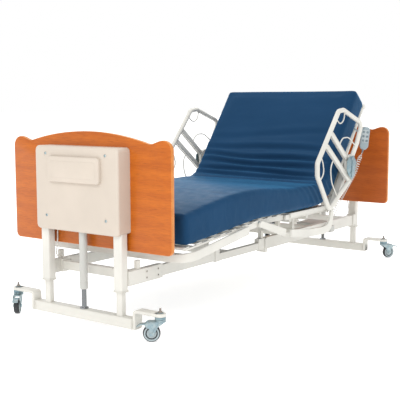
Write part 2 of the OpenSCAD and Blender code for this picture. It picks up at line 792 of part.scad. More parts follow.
base_beam();  // foot_base_beam
lift_rod();  // foot_lift_rod
caster_stems();  // foot_caster_stems
head_end() base_beam();  // head_base_beam
head_end() lift_rod();  // head_lift_rod
head_end() caster_stems();  // head_caster_stems
caster_fork(0);  // caster_fork_1
caster_wheel(0);  // caster_wheel_1
brake_pedal(0);  // brake_pedal_1
caster_fork(1);  // caster_fork_2
caster_wheel(1);  // caster_wheel_2
brake_pedal(1);  // brake_pedal_2
caster_fork(2);  // caster_fork_3
caster_wheel(2);  // caster_wheel_3
brake_pedal(2);  // brake_pedal_3
caster_fork(3);  // caster_fork_4
caster_wheel(3);  // caster_wheel_4
brake_pedal(3);  // brake_pedal_4
outer_legs();  // foot_outer_legs
head_end() outer_legs();  // head_outer_legs
leg_glides();
lift_motor();  // foot_lift_motor
head_end() lift_motor();  // head_lift_motor
board();  // footboard
head_end() board();  // headboard
cover();  // foot_cover
head_end() cover();  // head_cover
union() { cover_plate(); head_end() cover_plate(); }  // cover_plates
union() { cover_screw_set(); head_end() cover_screw_set(); }  // cover_screws
foot_half_frame();
head_half_frame();
frame_couplers();
seat_frame();
back_motor();
back_rod();
knee_motor();
knee_rod();
control_box();
lift_leads();
back_frame();
rail_brackets();
thigh_frame();
foot_frame();
rail();  // near_rail
mirror([0, 1, 0]) rail();  // far_rail
rail_latch();  // near_rail_latch
mirror([0, 1, 0]) rail_latch();  // far_rail_latch
handset();
key(0);  // key_back_up
key(1);  // key_back_down
key(2);  // key_knee_up
key(3);  // key_knee_down
key(4);  // key_bed_up
key(5);  // key_bed_down
handset_lead();
curly_cord();
mattress_back();
mattress_seat();
mattress_thigh();
mattress_foot();
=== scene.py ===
"""Looks of an adjustable hospital bed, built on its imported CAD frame.

+X runs from the footboard to the headboard, -Y is the side with the handset, +Z is up. Metres.
Order: camera, mesh and material tools, cords, studio, bases and casters, boards and covers, foot section,
assist rails, handset, mattress.
"""

import math

import bmesh
import bpy
import numpy as np
from mathutils import Matrix, Vector, noise


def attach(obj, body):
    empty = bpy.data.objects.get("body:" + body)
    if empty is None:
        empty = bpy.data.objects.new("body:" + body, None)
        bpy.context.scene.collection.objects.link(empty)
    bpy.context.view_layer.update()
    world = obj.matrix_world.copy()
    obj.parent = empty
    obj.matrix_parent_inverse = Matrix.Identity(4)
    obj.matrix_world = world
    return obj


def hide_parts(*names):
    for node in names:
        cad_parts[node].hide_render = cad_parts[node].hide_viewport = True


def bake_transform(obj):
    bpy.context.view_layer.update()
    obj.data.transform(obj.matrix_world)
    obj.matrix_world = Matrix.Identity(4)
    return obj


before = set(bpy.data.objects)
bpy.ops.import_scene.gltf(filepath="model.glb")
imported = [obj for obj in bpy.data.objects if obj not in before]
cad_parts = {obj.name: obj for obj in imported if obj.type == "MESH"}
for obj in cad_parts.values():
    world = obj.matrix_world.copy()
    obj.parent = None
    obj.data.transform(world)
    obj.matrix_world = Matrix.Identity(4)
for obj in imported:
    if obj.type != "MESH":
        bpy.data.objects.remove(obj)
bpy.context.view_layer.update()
RAD = math.radians

# ---- places that the CAD source fixes ----
HALF_L = 1.117                       # outer face of each board
LEG_X, LEG_Y = 1.153, 0.221          # middle of each leg
STEM_X, STEM_Y = 1.151, 0.437        # axis of each caster's swivel
HINGE_Z = 0.406                      # height of the hinges of the back and the thighs
HIP_X, SEAT_X = 0.360, -0.085        # hinge of the back, hinge of the thighs
BACK_REST, THIGH_REST, FOOT_REST = RAD(52.1), RAD(0.8), RAD(4.8)
THIGH_L, BACK_L, FOOT_L = 0.291, 0.719, 0.625
SIDE_Y = 0.428                       # middle of the back's side tubes
DECK = 0.018                         # deck surface above the line through the hinges
TRAIL, WHEEL_R = 0.037, 0.0375
TURNS = (127.7, 217.7, -32.0, 30.0)  # swivel angle of each caster, degrees
CASTERS = ("near_foot", "far_foot", "near_head", "far_head")
RAIL_Y = 0.505                       # plane of each assist rail
PIVOT, RAIL_LEAN = (0.252, 0.069), RAD(6.8)
CROWN, CROWN_R = 0.875, 1.350        # height and radius of the arc on top of a board
BOARD_W, BOARD_LOW, BOARD_T = 0.950, 0.360, 0.019
HIP = Vector((HIP_X, 0, HINGE_Z))
SEAT = Vector((SEAT_X, 0, HINGE_Z))
KNEE = Vector((SEAT_X - THIGH_L * math.cos(THIGH_REST), 0, HINGE_Z + THIGH_L * math.sin(THIGH_REST)))


def on_section(origin, angle):
    """Matrix from a section's own places, level with its hinge at the origin, to the rest frame."""
    return Matrix.Translation(origin) @ Matrix.Rotation(-angle, 4, "Y")


ON_BACK = on_section(HIP, BACK_REST)
ON_THIGH = on_section(SEAT, -THIGH_REST)
ON_FOOT = on_section(KNEE, FOOT_REST)


def in_scene(name, data):
    obj = bpy.data.objects.new(name, data)
    bpy.context.scene.collection.objects.link(obj)
    return obj


# ---- camera ----
CAMERA_PLACE = (-3.7828, -2.5514, 1.0013)
CAMERA_YAW, CAMERA_PITCH, CAMERA_ROLL = 0.627107, 0.118370, -0.00232
CAMERA_LENS, CAMERA_SENSOR = 74.0, 36.0     # mm


def make_camera():
    data = bpy.data.cameras.new("camera")
    data.lens, data.sensor_width = CAMERA_LENS, CAMERA_SENSOR
    data.clip_start, data.clip_end = 0.05, 200.0
    cam = in_scene("camera", data)
    level = math.cos(CAMERA_PITCH)
    look = Vector((level * math.cos(CAMERA_YAW), level * math.sin(CAMERA_YAW), -math.sin(CAMERA_PITCH)))
    turn = look.to_track_quat("-Z", "Y").to_matrix().to_4x4() @ Matrix.Rotation(CAMERA_ROLL, 4, "Z")
    cam.matrix_world = Matrix.Translation(CAMERA_PLACE) @ turn
    bpy.context.scene.camera = cam


make_camera()


# ---- mesh building ----
def frames_along(path, closed=False, up=(0, 1, 0)):
    """Centre, side and up vectors at each point of a path, turning as little as they can."""
    pts = [Vector(p) for p in path]
    n = len(pts)
    out, up = [], Vector(up)
    for i, p in enumerate(pts):
        a = pts[(i - 1) % n] if closed or i else pts[0]
        b = pts[(i + 1) % n] if closed or i < n - 1 else pts[-1]
        t = (b - a).normalized()
        side = up.cross(t)
        if side.length < 1e-6:
            side = t.orthogonal()
        side.normalize()
        up = t.cross(side).normalized()
        out.append((p, side, up))
    return out


def rounded(path, radius, steps=8, closed=False):
    """A path with its corners turned into arcs."""
    pts = [Vector(p) for p in path]
    n = len(pts)
    out = []
    for i, b in enumerate(pts):
        if not closed and i in (0, n - 1):
            out.append(b)
            continue
        u, v = (pts[i - 1] - b), (pts[(i + 1) % n] - b)
        lu, lv = u.length, v.length
        u.normalize(), v.normalize()
        half = u.angle(v) / 2
        cut = min(radius / math.tan(half), lu * 0.49, lv * 0.49)
        r = cut * math.tan(half)
        centre = b + (u + v).normalized() * (r / math.sin(half))
        e = (b + u * cut - centre).normalized()
        f = (b + v * cut - centre)
        f = (f - f.dot(e) * e).normalized()
        total = math.pi - 2 * half
        out += [centre + r * (math.cos(total * k / steps) * e + math.sin(total * k / steps) * f)
                for k in range(steps + 1)]
    return out


def around(n):
    return [2 * math.pi * k / n for k in range(n)]


# signs of a corner, and the angle its arc starts at
QUARTERS = ((1, 1, 0), (-1, 1, 90), (-1, -1, 180), (1, -1, 270))


def skin(part, rings, closed=False, caps=True):
    """Faces between rings of vertices, and over both ends of an open row of rings."""
    for a, b in zip(rings, rings[1:] + rings[:1] if closed else rings[1:]):
        n = len(a)
        for k in range(n):
            corners = dict.fromkeys((a[k], b[k], b[(k + 1) % n], a[(k + 1) % n]))
            if len(corners) > 2:
                part.faces.new(tuple(corners))
    if caps and not closed:
        part.faces.new(rings[0])
        part.faces.new(rings[-1][::-1])


class Shape:
    """Collects solids of one piece, each with its own bevel, in one mesh."""

    def __init__(self, place=None):
        self.bm = bmesh.new()
        self.place = place or Matrix.Identity(4)

    def take(self, part, material, place=None):
        """Adds a finished solid to the piece."""
        bmesh.ops.recalc_face_normals(part, faces=part.faces)
        part.transform(self.place @ (place or Matrix.Identity(4)))
        for f in part.faces:
            f.material_index = material
            f.smooth = True
        mesh = bpy.data.meshes.new("part")
        part.to_mesh(mesh)
        part.free()
        self.bm.from_mesh(mesh)
        bpy.data.meshes.remove(mesh)

    @staticmethod
    def bevel(part, width, segments, limit=30):
        edges = [e for e in part.edges if len(e.link_faces) == 2 and e.calc_face_angle(0) > RAD(limit)]
        if width > 0 and edges:
            bmesh.ops.bevel(part, geom=edges, offset=width, offset_type="OFFSET", segments=segments,
                            profile=0.5, affect="EDGES", clamp_overlap=True)

    def box(self, lo, hi, bevel=0.002, material=0, place=None, segments=2):
        lo, hi = Vector(lo), Vector(hi)
        part = bmesh.new()
        bmesh.ops.create_cube(part, size=1)
        size = hi - lo
        part.transform(Matrix.Translation((lo + hi) / 2) @ Matrix.Diagonal((*map(abs, size), 1)))
        self.bevel(part, min(bevel, min(map(abs, size)) * 0.45), segments)
        self.take(part, material, place)

    def prism(self, outline, y, depth, bevel):
        """An outline in XZ, drawn out from y by depth."""
        part = bmesh.new()
        skin(part, [[part.verts.new((a, side, b)) for a, b in outline] for side in (y, y + depth)])
        bmesh.ops.recalc_face_normals(part, faces=part.faces)
        self.bevel(part, bevel, 2, 50)
        self.take(part, 0)

    def flat_bar(self, path, half_t, half_h, up, round_over, place=None):
        """A flat bar swept along a path."""
        part = bmesh.new()
        skin(part, [[part.verts.new(p + u * a * half_h + side * b * half_t)
                     for a, b in ((-1, -1), (1, -1), (1, 1), (-1, 1))]
                    for p, side, u in frames_along(path, up=up)])
        bmesh.ops.recalc_face_normals(part, faces=part.faces)
        self.bevel(part, round_over, 2, 50)
        self.take(part, 0, place)

    def tube(self, path, radius, sides=20, closed=False, up=(0, 1, 0)):
        """A round tube along a path; radius is one number or one for each point."""
        part = bmesh.new()
        radii = radius if hasattr(radius, "__len__") else [radius] * len(path)
        skin(part, [[part.verts.new(p + r * (math.cos(a) * s + math.sin(a) * u)) for a in around(sides)]
                    for (p, s, u), r in zip(frames_along(path, closed, up), radii)], closed)
        self.take(part, 0)

    def lathe(self, profile, place, sides=40, material=0):
        """A turned solid: profile is (radius, height) pairs from its axis round to its axis again."""
        part = bmesh.new()
        skin(part, [[part.verts.new((0, 0, h))] * sides if r < 1e-6 else
                    [part.verts.new((r * math.cos(a), r * math.sin(a), h)) for a in around(sides)]
                    for r, h in profile], caps=False)
        self.take(part, material, place)

    def disc(self, radius, low, high, place, sides=40, material=0):
        self.lathe([(0, low), (radius, low), (radius, high), (0, high)], place, sides, material)

    def square_tube(self, centre, half, wall, z0, z1, radius):
        """An upright box section with rounded corners, closed at the top and open below."""
        part = bmesh.new()

        def loop(inset, r, z):
            out = []
            for sx, sy, a0 in QUARTERS:
                for k in range(5):
                    a = RAD(a0 + 90 * k / 4)
                    out.append(part.verts.new((centre[0] + sx * (half[0] - inset - r) + r * math.cos(a),
                                               centre[1] + sy * (half[1] - inset - r) + r * math.sin(a), z)))
            return out

        top = z1 - 0.006
        skin(part, [loop(wall, radius * 0.5, top), loop(wall, radius * 0.5, z0), loop(0, radius, z0),
                    loop(0, radius, z1)])
        self.take(part, 0)

    def build(self, name, body, materials, replaces=(), slot=None, sharp=40):
        mesh = bpy.data.meshes.new(name)
        self.bm.to_mesh(mesh)
        self.bm.free()
        mesh.set_sharp_from_angle(angle=RAD(sharp))
        for m in materials:
            mesh.materials.append(m)
        obj = in_scene(name, mesh)
        if body:
            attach(obj, body)
        if replaces:
            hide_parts(*replaces)
        return obj


def at(x, y, z, axis="Z"):
    """Place of a turned solid whose axis points along an axis of the frame."""
    degrees, about = {"Z": (0, "Z"), "X": (90, "Y"), "-X": (-90, "Y"), "Y": (-90, "X"), "-Y": (90, "X")}[axis]
    return Matrix.Translation((x, y, z)) @ Matrix.Rotation(RAD(degrees), 4, about)


def applied(obj):
    """Turns an object's modifiers into its mesh."""
    dg = bpy.context.evaluated_depsgraph_get()
    mesh = bpy.data.meshes.new_from_object(obj.evaluated_get(dg), depsgraph=dg)
    obj.modifiers.clear()
    obj.data = mesh
    return obj


# ---- materials ----
class Finish:
    """A node material in the making. A method's result is a socket, and feeds the next one."""

    def __init__(self, name, colour, rough, metal=0.0):
        self.mat = bpy.data.materials.new(name)
        self.mat.use_nodes = True
        self.tree = self.mat.node_tree
        self.set(Base_Color=colour, Roughness=rough, Metallic=metal)
        self.where = self.node("ShaderNodeTexCoord", "Object")
        self.mat.diffuse_color = (*colour, 1)

    def feed(self, node, inputs):
        for k, v in inputs.items():
            socket = node.inputs[k]
            if hasattr(v, "is_linked"):
                self.tree.links.new(v, socket)
            else:
                socket.default_value = (*v, 1) if socket.type == "RGBA" and len(v) == 3 else v

    def set(self, **inputs):
        self.feed(self.tree.nodes["Principled BSDF"], {k.replace("_", " "): v for k, v in inputs.items()})

    def node(self, kind, output, inputs=None, **settings):
        node = self.tree.nodes.new(kind)
        for k, v in settings.items():
            setattr(node, k, v)
        self.feed(node, inputs or {})
        return node.outputs[output]

    def stretched(self, scale):
        return self.node("ShaderNodeMapping", "Vector", {"Vector": self.where, "Scale": scale})

    def noise(self, scale, detail=3.0, rough=0.5, vector=None, distortion=0.0):
        return self.node("ShaderNodeTexNoise", "Fac", {
            "Vector": vector or self.where, "Scale": scale, "Detail": detail, "Roughness": rough,
            "Distortion": distortion})

    def wave(self, scale, vector, distortion, detail, direction):
        return self.node("ShaderNodeTexWave", "Fac", {
            "Vector": vector, "Scale": scale, "Distortion": distortion, "Detail": detail},
            wave_type="BANDS", bands_direction=direction)

    def ramp(self, value, *stops):
        out = self.node("ShaderNodeValToRGB", "Color", {"Fac": value})
        elements = out.node.color_ramp.elements
        while len(elements) < len(stops):
            elements.new(0.5)
        for e, (place, colour) in zip(elements, stops):
            e.position = place
            e.color = (*colour, 1) if hasattr(colour, "__len__") else (colour, colour, colour, 1)
        return out

    def mix(self, share, a, b):
        return self.node("ShaderNodeMix", 2, {0: share, 6: a, 7: b}, data_type="RGBA")

    def sum(self, a, b, kind="ADD"):
        return self.node("ShaderNodeMath", 0, {0: a, 1: b}, operation=kind)

    def bump(self, height, strength, distance, under=None):
        inputs = {"Height": height, "Strength": strength, "Distance": distance}
        return self.node("ShaderNodeBump", "Normal", inputs | ({"Normal": under} if under else {}))

    def soft_edges(self, radius):
        return self.node("ShaderNodeBevel", "Normal", {"Radius": radius}, samples=4)


def powder_coat(name, colour, edge=0.0025):
    """Powder coat: orange peel a millimetre across, and a little tone."""
    f = Finish(name, colour, 0.38)
    tone = f.noise(5.0, 3.0)
    darker = tuple(c * 0.88 for c in colour)
    f.set(Base_Color=f.mix(f.ramp(tone, (0.35, 0.0), (0.75, 1.0)), colour, darker),
          Roughness=f.ramp(f.noise(40.0, 4.0), (0.3, 0.30), (0.7, 0.46)),
          Normal=f.bump(f.noise(650.0, 2.0), 0.10, 0.0008, f.soft_edges(edge)), Coat_Weight=0.15,
          Coat_Roughness=0.2)
    return f.mat


def zinc_plate(name, colour):
    """Bright zinc plate: a bluish film in soft patches, fine drawing lines."""
    f = Finish(name, colour, 0.34, 0.85)
    patch = f.noise(60.0, 4.0)
    cool = (colour[0] * 0.72, colour[1] * 0.80, colour[2] * 0.86)
    f.set(Base_Color=f.mix(f.ramp(patch, (0.40, 0.0), (0.62, 1.0)), colour, cool),
          Roughness=f.ramp(f.noise(220.0, 3.0), (0.3, 0.24), (0.7, 0.48)),
          Normal=f.bump(f.noise(900.0, 2.0, vector=f.stretched((1, 1, 0.1))), 0.12, 0.0004,
                        f.soft_edges(0.0008)))
    return f.mat


def chrome(name):
    # the base is much darker than bright chrome: painted reflection, standing in for dark surroundings
    # mirrored in the rod
    f = Finish(name, (0.28, 0.29, 0.30), 0.14, 1.0)
    f.set(Roughness=f.ramp(f.noise(90.0, 3.0, vector=f.stretched((1, 1, 0.05))), (0.3, 0.10), (0.8, 0.26)),
          Normal=f.bump(f.noise(1500.0, 2.0, vector=f.stretched((1, 1, 0.02))), 0.05, 0.0003))
    return f.mat


def moulded(name, colour, grain=420.0, rough=0.45, edge=0.0015):
    """Moulded plastic: a fine spark texture and slight cloudiness."""
    f = Finish(name, colour, rough)
    cloud = f.ramp(f.noise(7.0, 3.0), (0.3, 0.0), (0.8, 1.0))
    f.set(Base_Color=f.mix(cloud, colour, tuple(c * 0.92 for c in colour)),
          Roughness=f.ramp(f.noise(grain * 0.4, 2.0), (0.3, rough - 0.08), (0.7, rough + 0.08)),
          Normal=f.bump(f.noise(grain, 3.0, 0.7), 0.14, 0.0006, f.soft_edges(edge)))
    return f.mat


def rubber(name, colour, rough=0.62):
    f = Finish(name, colour, rough)
    dust = f.ramp(f.noise(55.0, 5.0, 0.65), (0.48, 0.0), (0.78, 1.0))
    f.set(Base_Color=f.mix(dust, colour, tuple(min(1, c * 1.9 + 0.015) for c in colour)),
          Roughness=f.ramp(f.noise(180.0, 3.0), (0.3, rough - 0.1), (0.7, rough + 0.12)),
          Normal=f.bump(f.noise(700.0, 3.0), 0.18, 0.0005))
    return f.mat


def cherry(name, light, dark, flip=1.0):
    """Cherry laminate: long figure across the board, fine pores, a satin top film."""
    f = Finish(name, light, 0.33)
    long = f.stretched((1.0, 0.09 * flip, 1.0))
    figure = f.noise(16.0, 6.0, 0.62, f.stretched((1.0, 0.20 * flip, 1.0)), 0.7)
    cathedral = f.wave(5.0, f.stretched((0.3, 0.22, 1.0)), 7.0, 3.0, "Z")
    fibre = f.noise(190.0, 5.0, 0.7, long, 0.2)
    pores = f.noise(620.0, 2.0, 0.5, f.stretched((1.0, 0.035, 1.0)))
    streak = f.sum(f.sum(figure, 0.36, "MULTIPLY"), f.sum(cathedral, 0.10, "MULTIPLY"))
    both = f.sum(streak, f.sum(fibre, 0.48, "MULTIPLY"))
    tone = f.ramp(both, (0.30, dark), (0.46, tuple((a + b) / 2 for a, b in zip(light, dark))), (0.62, light))
    fine = f.mix(f.ramp(pores, (0.30, 0.55), (0.44, 0.0)), tone, tuple(c * 0.55 for c in dark))
    f.set(Base_Color=fine, Roughness=f.ramp(fibre, (0.3, 0.28), (0.7, 0.40)), Coat_Weight=0.12,
          Coat_Roughness=0.16, Specular_IOR_Level=0.32, Normal=f.bump(f.sum(fibre, pores), 0.06, 0.0005))
    return f.mat


def coated_nylon(name, colour, sheen):
    """Coated nylon ticking: a fine plain weave under a satin film, with small slack puckers."""
    f = Finish(name, colour, 0.36)
    weave = f.sum(f.wave(520.0, f.stretched((1, 1, 1)), 0.3, 1.0, "X"),
                  f.wave(520.0, f.stretched((1, 1, 1)), 0.3, 1.0, "Y"), "MULTIPLY")
    pucker = f.noise(9.0, 3.0, 0.45, f.stretched((1.6, 0.55, 1.2)), 0.6)
    tone = f.mix(f.ramp(f.noise(2.2, 2.0), (0.3, 0.0), (0.75, 1.0)), colour, tuple(c * 1.22 for c in colour))
    speck = f.mix(f.ramp(weave, (0.2, 0.0), (0.8, 0.10)), tone, tuple(c * 0.6 for c in colour))
    f.set(Base_Color=speck, Roughness=f.ramp(f.noise(26.0, 4.0), (0.3, 0.32), (0.7, 0.44)),
          Sheen_Weight=0.46, Sheen_Roughness=0.36, Sheen_Tint=(*sheen, 1), IOR=1.10, Specular_IOR_Level=0.5,
          Specular_Tint=(0.30, 0.70, 1.0, 1),
          Normal=f.bump(weave, 0.04, 0.0004, f.bump(pucker, 0.20, 0.012)))
    return f.mat


CREAM = powder_coat("cream_powder_coat", (0.67, 0.655, 0.60))
ZINC = zinc_plate("zinc_plated_steel", (0.27, 0.355, 0.38))
FORK_ZINC = zinc_plate("bright_zinc_plate", (0.38, 0.455, 0.465))
DARK_ZINC = zinc_plate("brown_chromate_nut", (0.36, 0.31, 0.27))
CHROME = chrome("hard_chrome")
TYRE = rubber("grey_black_tyre", (0.022, 0.024, 0.027))
HUB = moulded("grey_hub", (0.36, 0.42, 0.435), 500.0, 0.5, 0.0005)
BEIGE = moulded("beige_cover_plastic", (0.57, 0.50, 0.425))
GLIDE = moulded("off_white_glide", (0.60, 0.585, 0.53), 300.0, 0.5, 0.001)
MOTOR = moulded("light_grey_actuator", (0.50, 0.50, 0.47), 380.0, 0.42, 0.002)
DARK_MOTOR = moulded("dark_grey_motor", (0.070, 0.072, 0.075), 380.0, 0.48, 0.002)
CHERRY = cherry("cherry_outer", (0.54, 0.136, 0.008), (0.39, 0.083, 0.004))
# inner faces of the boards: the same laminate made darker and redder, as painted shade
CHERRY_SHADED = cherry("cherry_inner_painted_shade", (0.44, 0.096, 0.006), (0.31, 0.057, 0.003), 1.15)
EDGE_BAND = cherry("cherry_edge_band", (0.66, 0.25, 0.05), (0.50, 0.15, 0.02), 0.8)
NAVY = coated_nylon("navy_coated_nylon", (0.012, 0.043, 0.099), (0.10, 0.44, 0.82))
PENDANT = moulded("handset_shell", (0.33, 0.40, 0.43), 520.0, 0.48, 0.001)
PENDANT_FACE = moulded("handset_panel", (0.48, 0.53, 0.54), 620.0, 0.4, 0.0006)
KEYS = rubber("handset_key", (0.16, 0.20, 0.22), 0.5)
CORD = rubber("pale_cord_jacket", (0.62, 0.60, 0.56), 0.48)
GREY_LEAD = rubber("grey_lead_jacket", (0.55, 0.54, 0.50), 0.5)


# ---- cords: first the coiled lead of the handset, then the two leads of the lifting motors ----
LEAD_TOP = (0.763, -0.458, 0.716)
LEAD = [LEAD_TOP, (0.7585, -0.458, 0.706), (0.752, -0.458, 0.698)]
COIL = [(0.745, -0.458, 0.691), (0.716, -0.458, 0.662), (0.696, -0.450, 0.612), (0.693, -0.428, 0.560),
        (0.698, -0.352, 0.425), (0.704, -0.272, 0.262)]
COIL_TOP, COIL_LOW = Vector((0.688, -0.458, 0.640)), Vector(COIL[-1])
WIRE, COIL_R, TURN_COUNT = 0.0042, 0.0102, 34


def smooth_path(points, steps):
    """A curve through the points (Catmull-Rom)."""
    p = [Vector(q) for q in points]
    p = [2 * p[0] - p[1]] + p + [2 * p[-1] - p[-2]]
    out = []
    for i in range(1, len(p) - 2):
        a, b, c, d = p[i - 1:i + 3]
        for k in range(steps):
            t = k / steps
            out.append(0.5 * (2 * b + (c - a) * t + (2 * a - 5 * b + 4 * c - d) * t * t
                              + (3 * b - a - 3 * c + d) * t * t * t))
    return out + [p[-2]]


def distances(path):
    """How far along a path each of its points lies."""
    run = [0.0]
    for a, b in zip(path, path[1:]):
        run.append(run[-1] + (Vector(b) - Vector(a)).length)
    return run


def coiled_lead():
    """The straight start of the lead, then a coil wound round a hanging line down to the control box."""
    line = smooth_path(COIL, 24)
    run = distances(line)
    steps = 18
    total = TURN_COUNT * steps
    path = smooth_path(LEAD, 6)
    fade = steps * 1.5
    k = 0
    for i in range(total + 1):
        along = run[-1] * (0.005 + 0.99 * i / total)
        while run[k + 1] < along:
            k += 1
        d = (line[k + 1] - line[k]).normalized()
        e = Vector((-1, 0, 0))
        e = (e - e.dot(d) * d).normalized()
        a = 2 * math.pi * i / steps
        r = COIL_R * min(1.0, i / fade, (total - i) / fade)
        path.append(line[k] + d * (along - run[k]) + r * (math.cos(a) * e + math.sin(a) * d.cross(e)))
    path.append(COIL_LOW.copy())
    d = (COIL_LOW - COIL_TOP).normalized()
    s = Shape()
    s.tube(path, WIRE / 2, sides=10, up=(0.3, 0.8, 0.1))
    cord = s.build("coiled_handset_lead", None, [CORD], ("handset_lead", "curly_cord"), "cord_jacket", 70)
    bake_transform(cord)


FOOT_LEAD = [(-1.125, 0.188, 0.480), (-1.125, 0.188, 0.420), (-1.125, 0.190, 0.370), (-1.124, 0.198, 0.325),
             (-1.118, 0.206, 0.302), (-1.104, 0.210, 0.291), (-1.088, 0.208, 0.294), (-1.077, 0.206, 0.287),
             (-1.070, 0.206, 0.277)]
HEAD_LEAD = [(1.125, -0.188, 0.480), (1.125, -0.188, 0.420), (1.125, -0.190, 0.370), (1.124, -0.198, 0.325),
             (1.114, -0.206, 0.292), (1.096, -0.210, 0.276), (1.076, -0.208, 0.264)]


def motor_lead(name, points, replaced=()):
    path = smooth_path(points, 5)
    s = Shape()
    s.tube(path, 0.003, sides=12)
    lead = s.build(name, "lift_frame", [GREY_LEAD], replaced, "cord_jacket", 70)


coiled_lead()
motor_lead("foot_motor_lead", FOOT_LEAD, ("lift_leads",))
motor_lead("head_motor_lead", HEAD_LEAD)


# ---- studio ----
def studio():
    f = Finish("studio_floor", (0.86, 0.86, 0.86), 0.9)
    f.set(Roughness=f.ramp(f.noise(3.0, 2.0), (0.2, 0.85), (0.8, 0.95)), Emission_Color=(1, 1, 1, 1),
          Emission_Strength=0.52)
    mesh = bpy.data.meshes.new("floor")
    mesh.from_pydata([(-60, -60, 0), (60, -60, 0), (60, 60, 0), (-60, 60, 0)], [], [(0, 1, 2, 3)])
    mesh.materials.append(f.mat)
    floor = in_scene("floor", mesh)
    world = bpy.data.worlds.new("studio")
    world.use_nodes = True
    world.node_tree.nodes["Background"].inputs["Color"].default_value = (1.0, 1.0, 1.0, 1)
    world.node_tree.nodes["Background"].inputs["Strength"].default_value = 1.0
    bpy.context.scene.world = world
    bpy.context.scene.view_settings.view_transform = "Standard"

    def panel(name, place, target, size, power):
        data = bpy.data.lights.new(name, "AREA")
        data.shape, data.size, data.size_y, data.energy = "RECTANGLE", size[0], size[1], power
        lamp = in_scene(name, data)
        lamp.location = place
        lamp.rotation_euler = (Vector(target) - Vector(place)).to_track_quat("-Z", "Y").to_euler()

    panel("key", (-4.4, -1.5, 3.5), (0, 0, 0.5), (1.6, 1.6), 70)
    panel("overhead", (0.6, 0.4, 3.4), (0, 0, 0.5), (3.0, 2.2), 22)
    panel("back", (3.2, 2.4, 2.6), (0.2, 0, 0.6), (2.0, 1.6), 14)


studio()


# ---- bases and casters ----
def base(end, sx):
    """A beam near the floor with two arms over the casters, two inner legs, the lift rod and the stems."""
    s = Shape()
    x = sx * LEG_X
    s.box((x - 0.022, -0.318, 0.033), (x + 0.022, 0.318, 0.080), 0.004)
    for sy in (-1, 1):
        # the arm: a flat bar turned up at the beam's end and out over the caster, with a round end
        arm_y, arm_z = sy * 0.311, 0.115
        arm = rounded([(0, arm_y, 0.036), (0, arm_y, arm_z), (0, sy * STEM_Y, arm_z)], 0.012, 6)
        s.flat_bar(arm, 0.007, 0.025, (1, 0, 0), 0.0022, Matrix.Translation((sx * STEM_X, 0, 0)))
        s.lathe([(0, 0.108), (0.0235, 0.108), (0.025, 0.1095), (0.025, 0.1205), (0.0235, 0.122), (0, 0.122)],
                at(sx * STEM_X, sy * STEM_Y, 0))
        s.square_tube((x, sy * LEG_Y), (0.014, 0.017), 0.003, 0.043, 0.650, 0.005)
        s.box((x - 0.030, sy * 0.3035, 0.036), (x + 0.030, sy * 0.2995, 0.076), 0.0015)   # weld plate
    s.build(f"{end}_base", f"{end}_base", [CREAM], (f"{end}_base_beam",), "cream_paint")

    s = Shape()
    s.lathe([(0, 0.080), (0.0195, 0.080), (0.020, 0.081), (0.020, 0.0865), (0.0190, 0.087), (0.0118, 0.087),
             (0.0112, 0.088), (0.0112, 0.559), (0.0102, 0.560), (0, 0.560)], at(x, 0, 0), 48)
    s.build(f"{end}_lift_rod_chromed", f"{end}_base", [CHROME], (f"{end}_lift_rod",), "chrome_rod")

    s = Shape()
    for sy in (-1, 1):
        place = at(sx * STEM_X, sy * STEM_Y, 0)
        s.lathe([(0, 0.0965), (0.0225, 0.0965), (0.024, 0.098), (0.024, 0.1065), (0.0232, 0.108), (0, 0.108)],
                place)
        s.disc(0.014, 0.122, 0.1238, place, 32)
        s.lathe([(0, 0.1238), (0.0098, 0.1238), (0.0098, 0.1296), (0.0085, 0.1305), (0, 0.1305)], place, 6, 1)
        stem = [(0, 0.1300)]
        for k in range(7):
            stem += [(0.0049, 0.1300 + k * 0.0018), (0.0043, 0.1309 + k * 0.0018)]
        s.lathe(stem + [(0.0038, 0.144), (0, 0.144)], place, 20, 1)
    s.build(f"{end}_swivel_stems", f"{end}_base", [ZINC, DARK_ZINC], (f"{end}_caster_stems",), "zinc_plate")


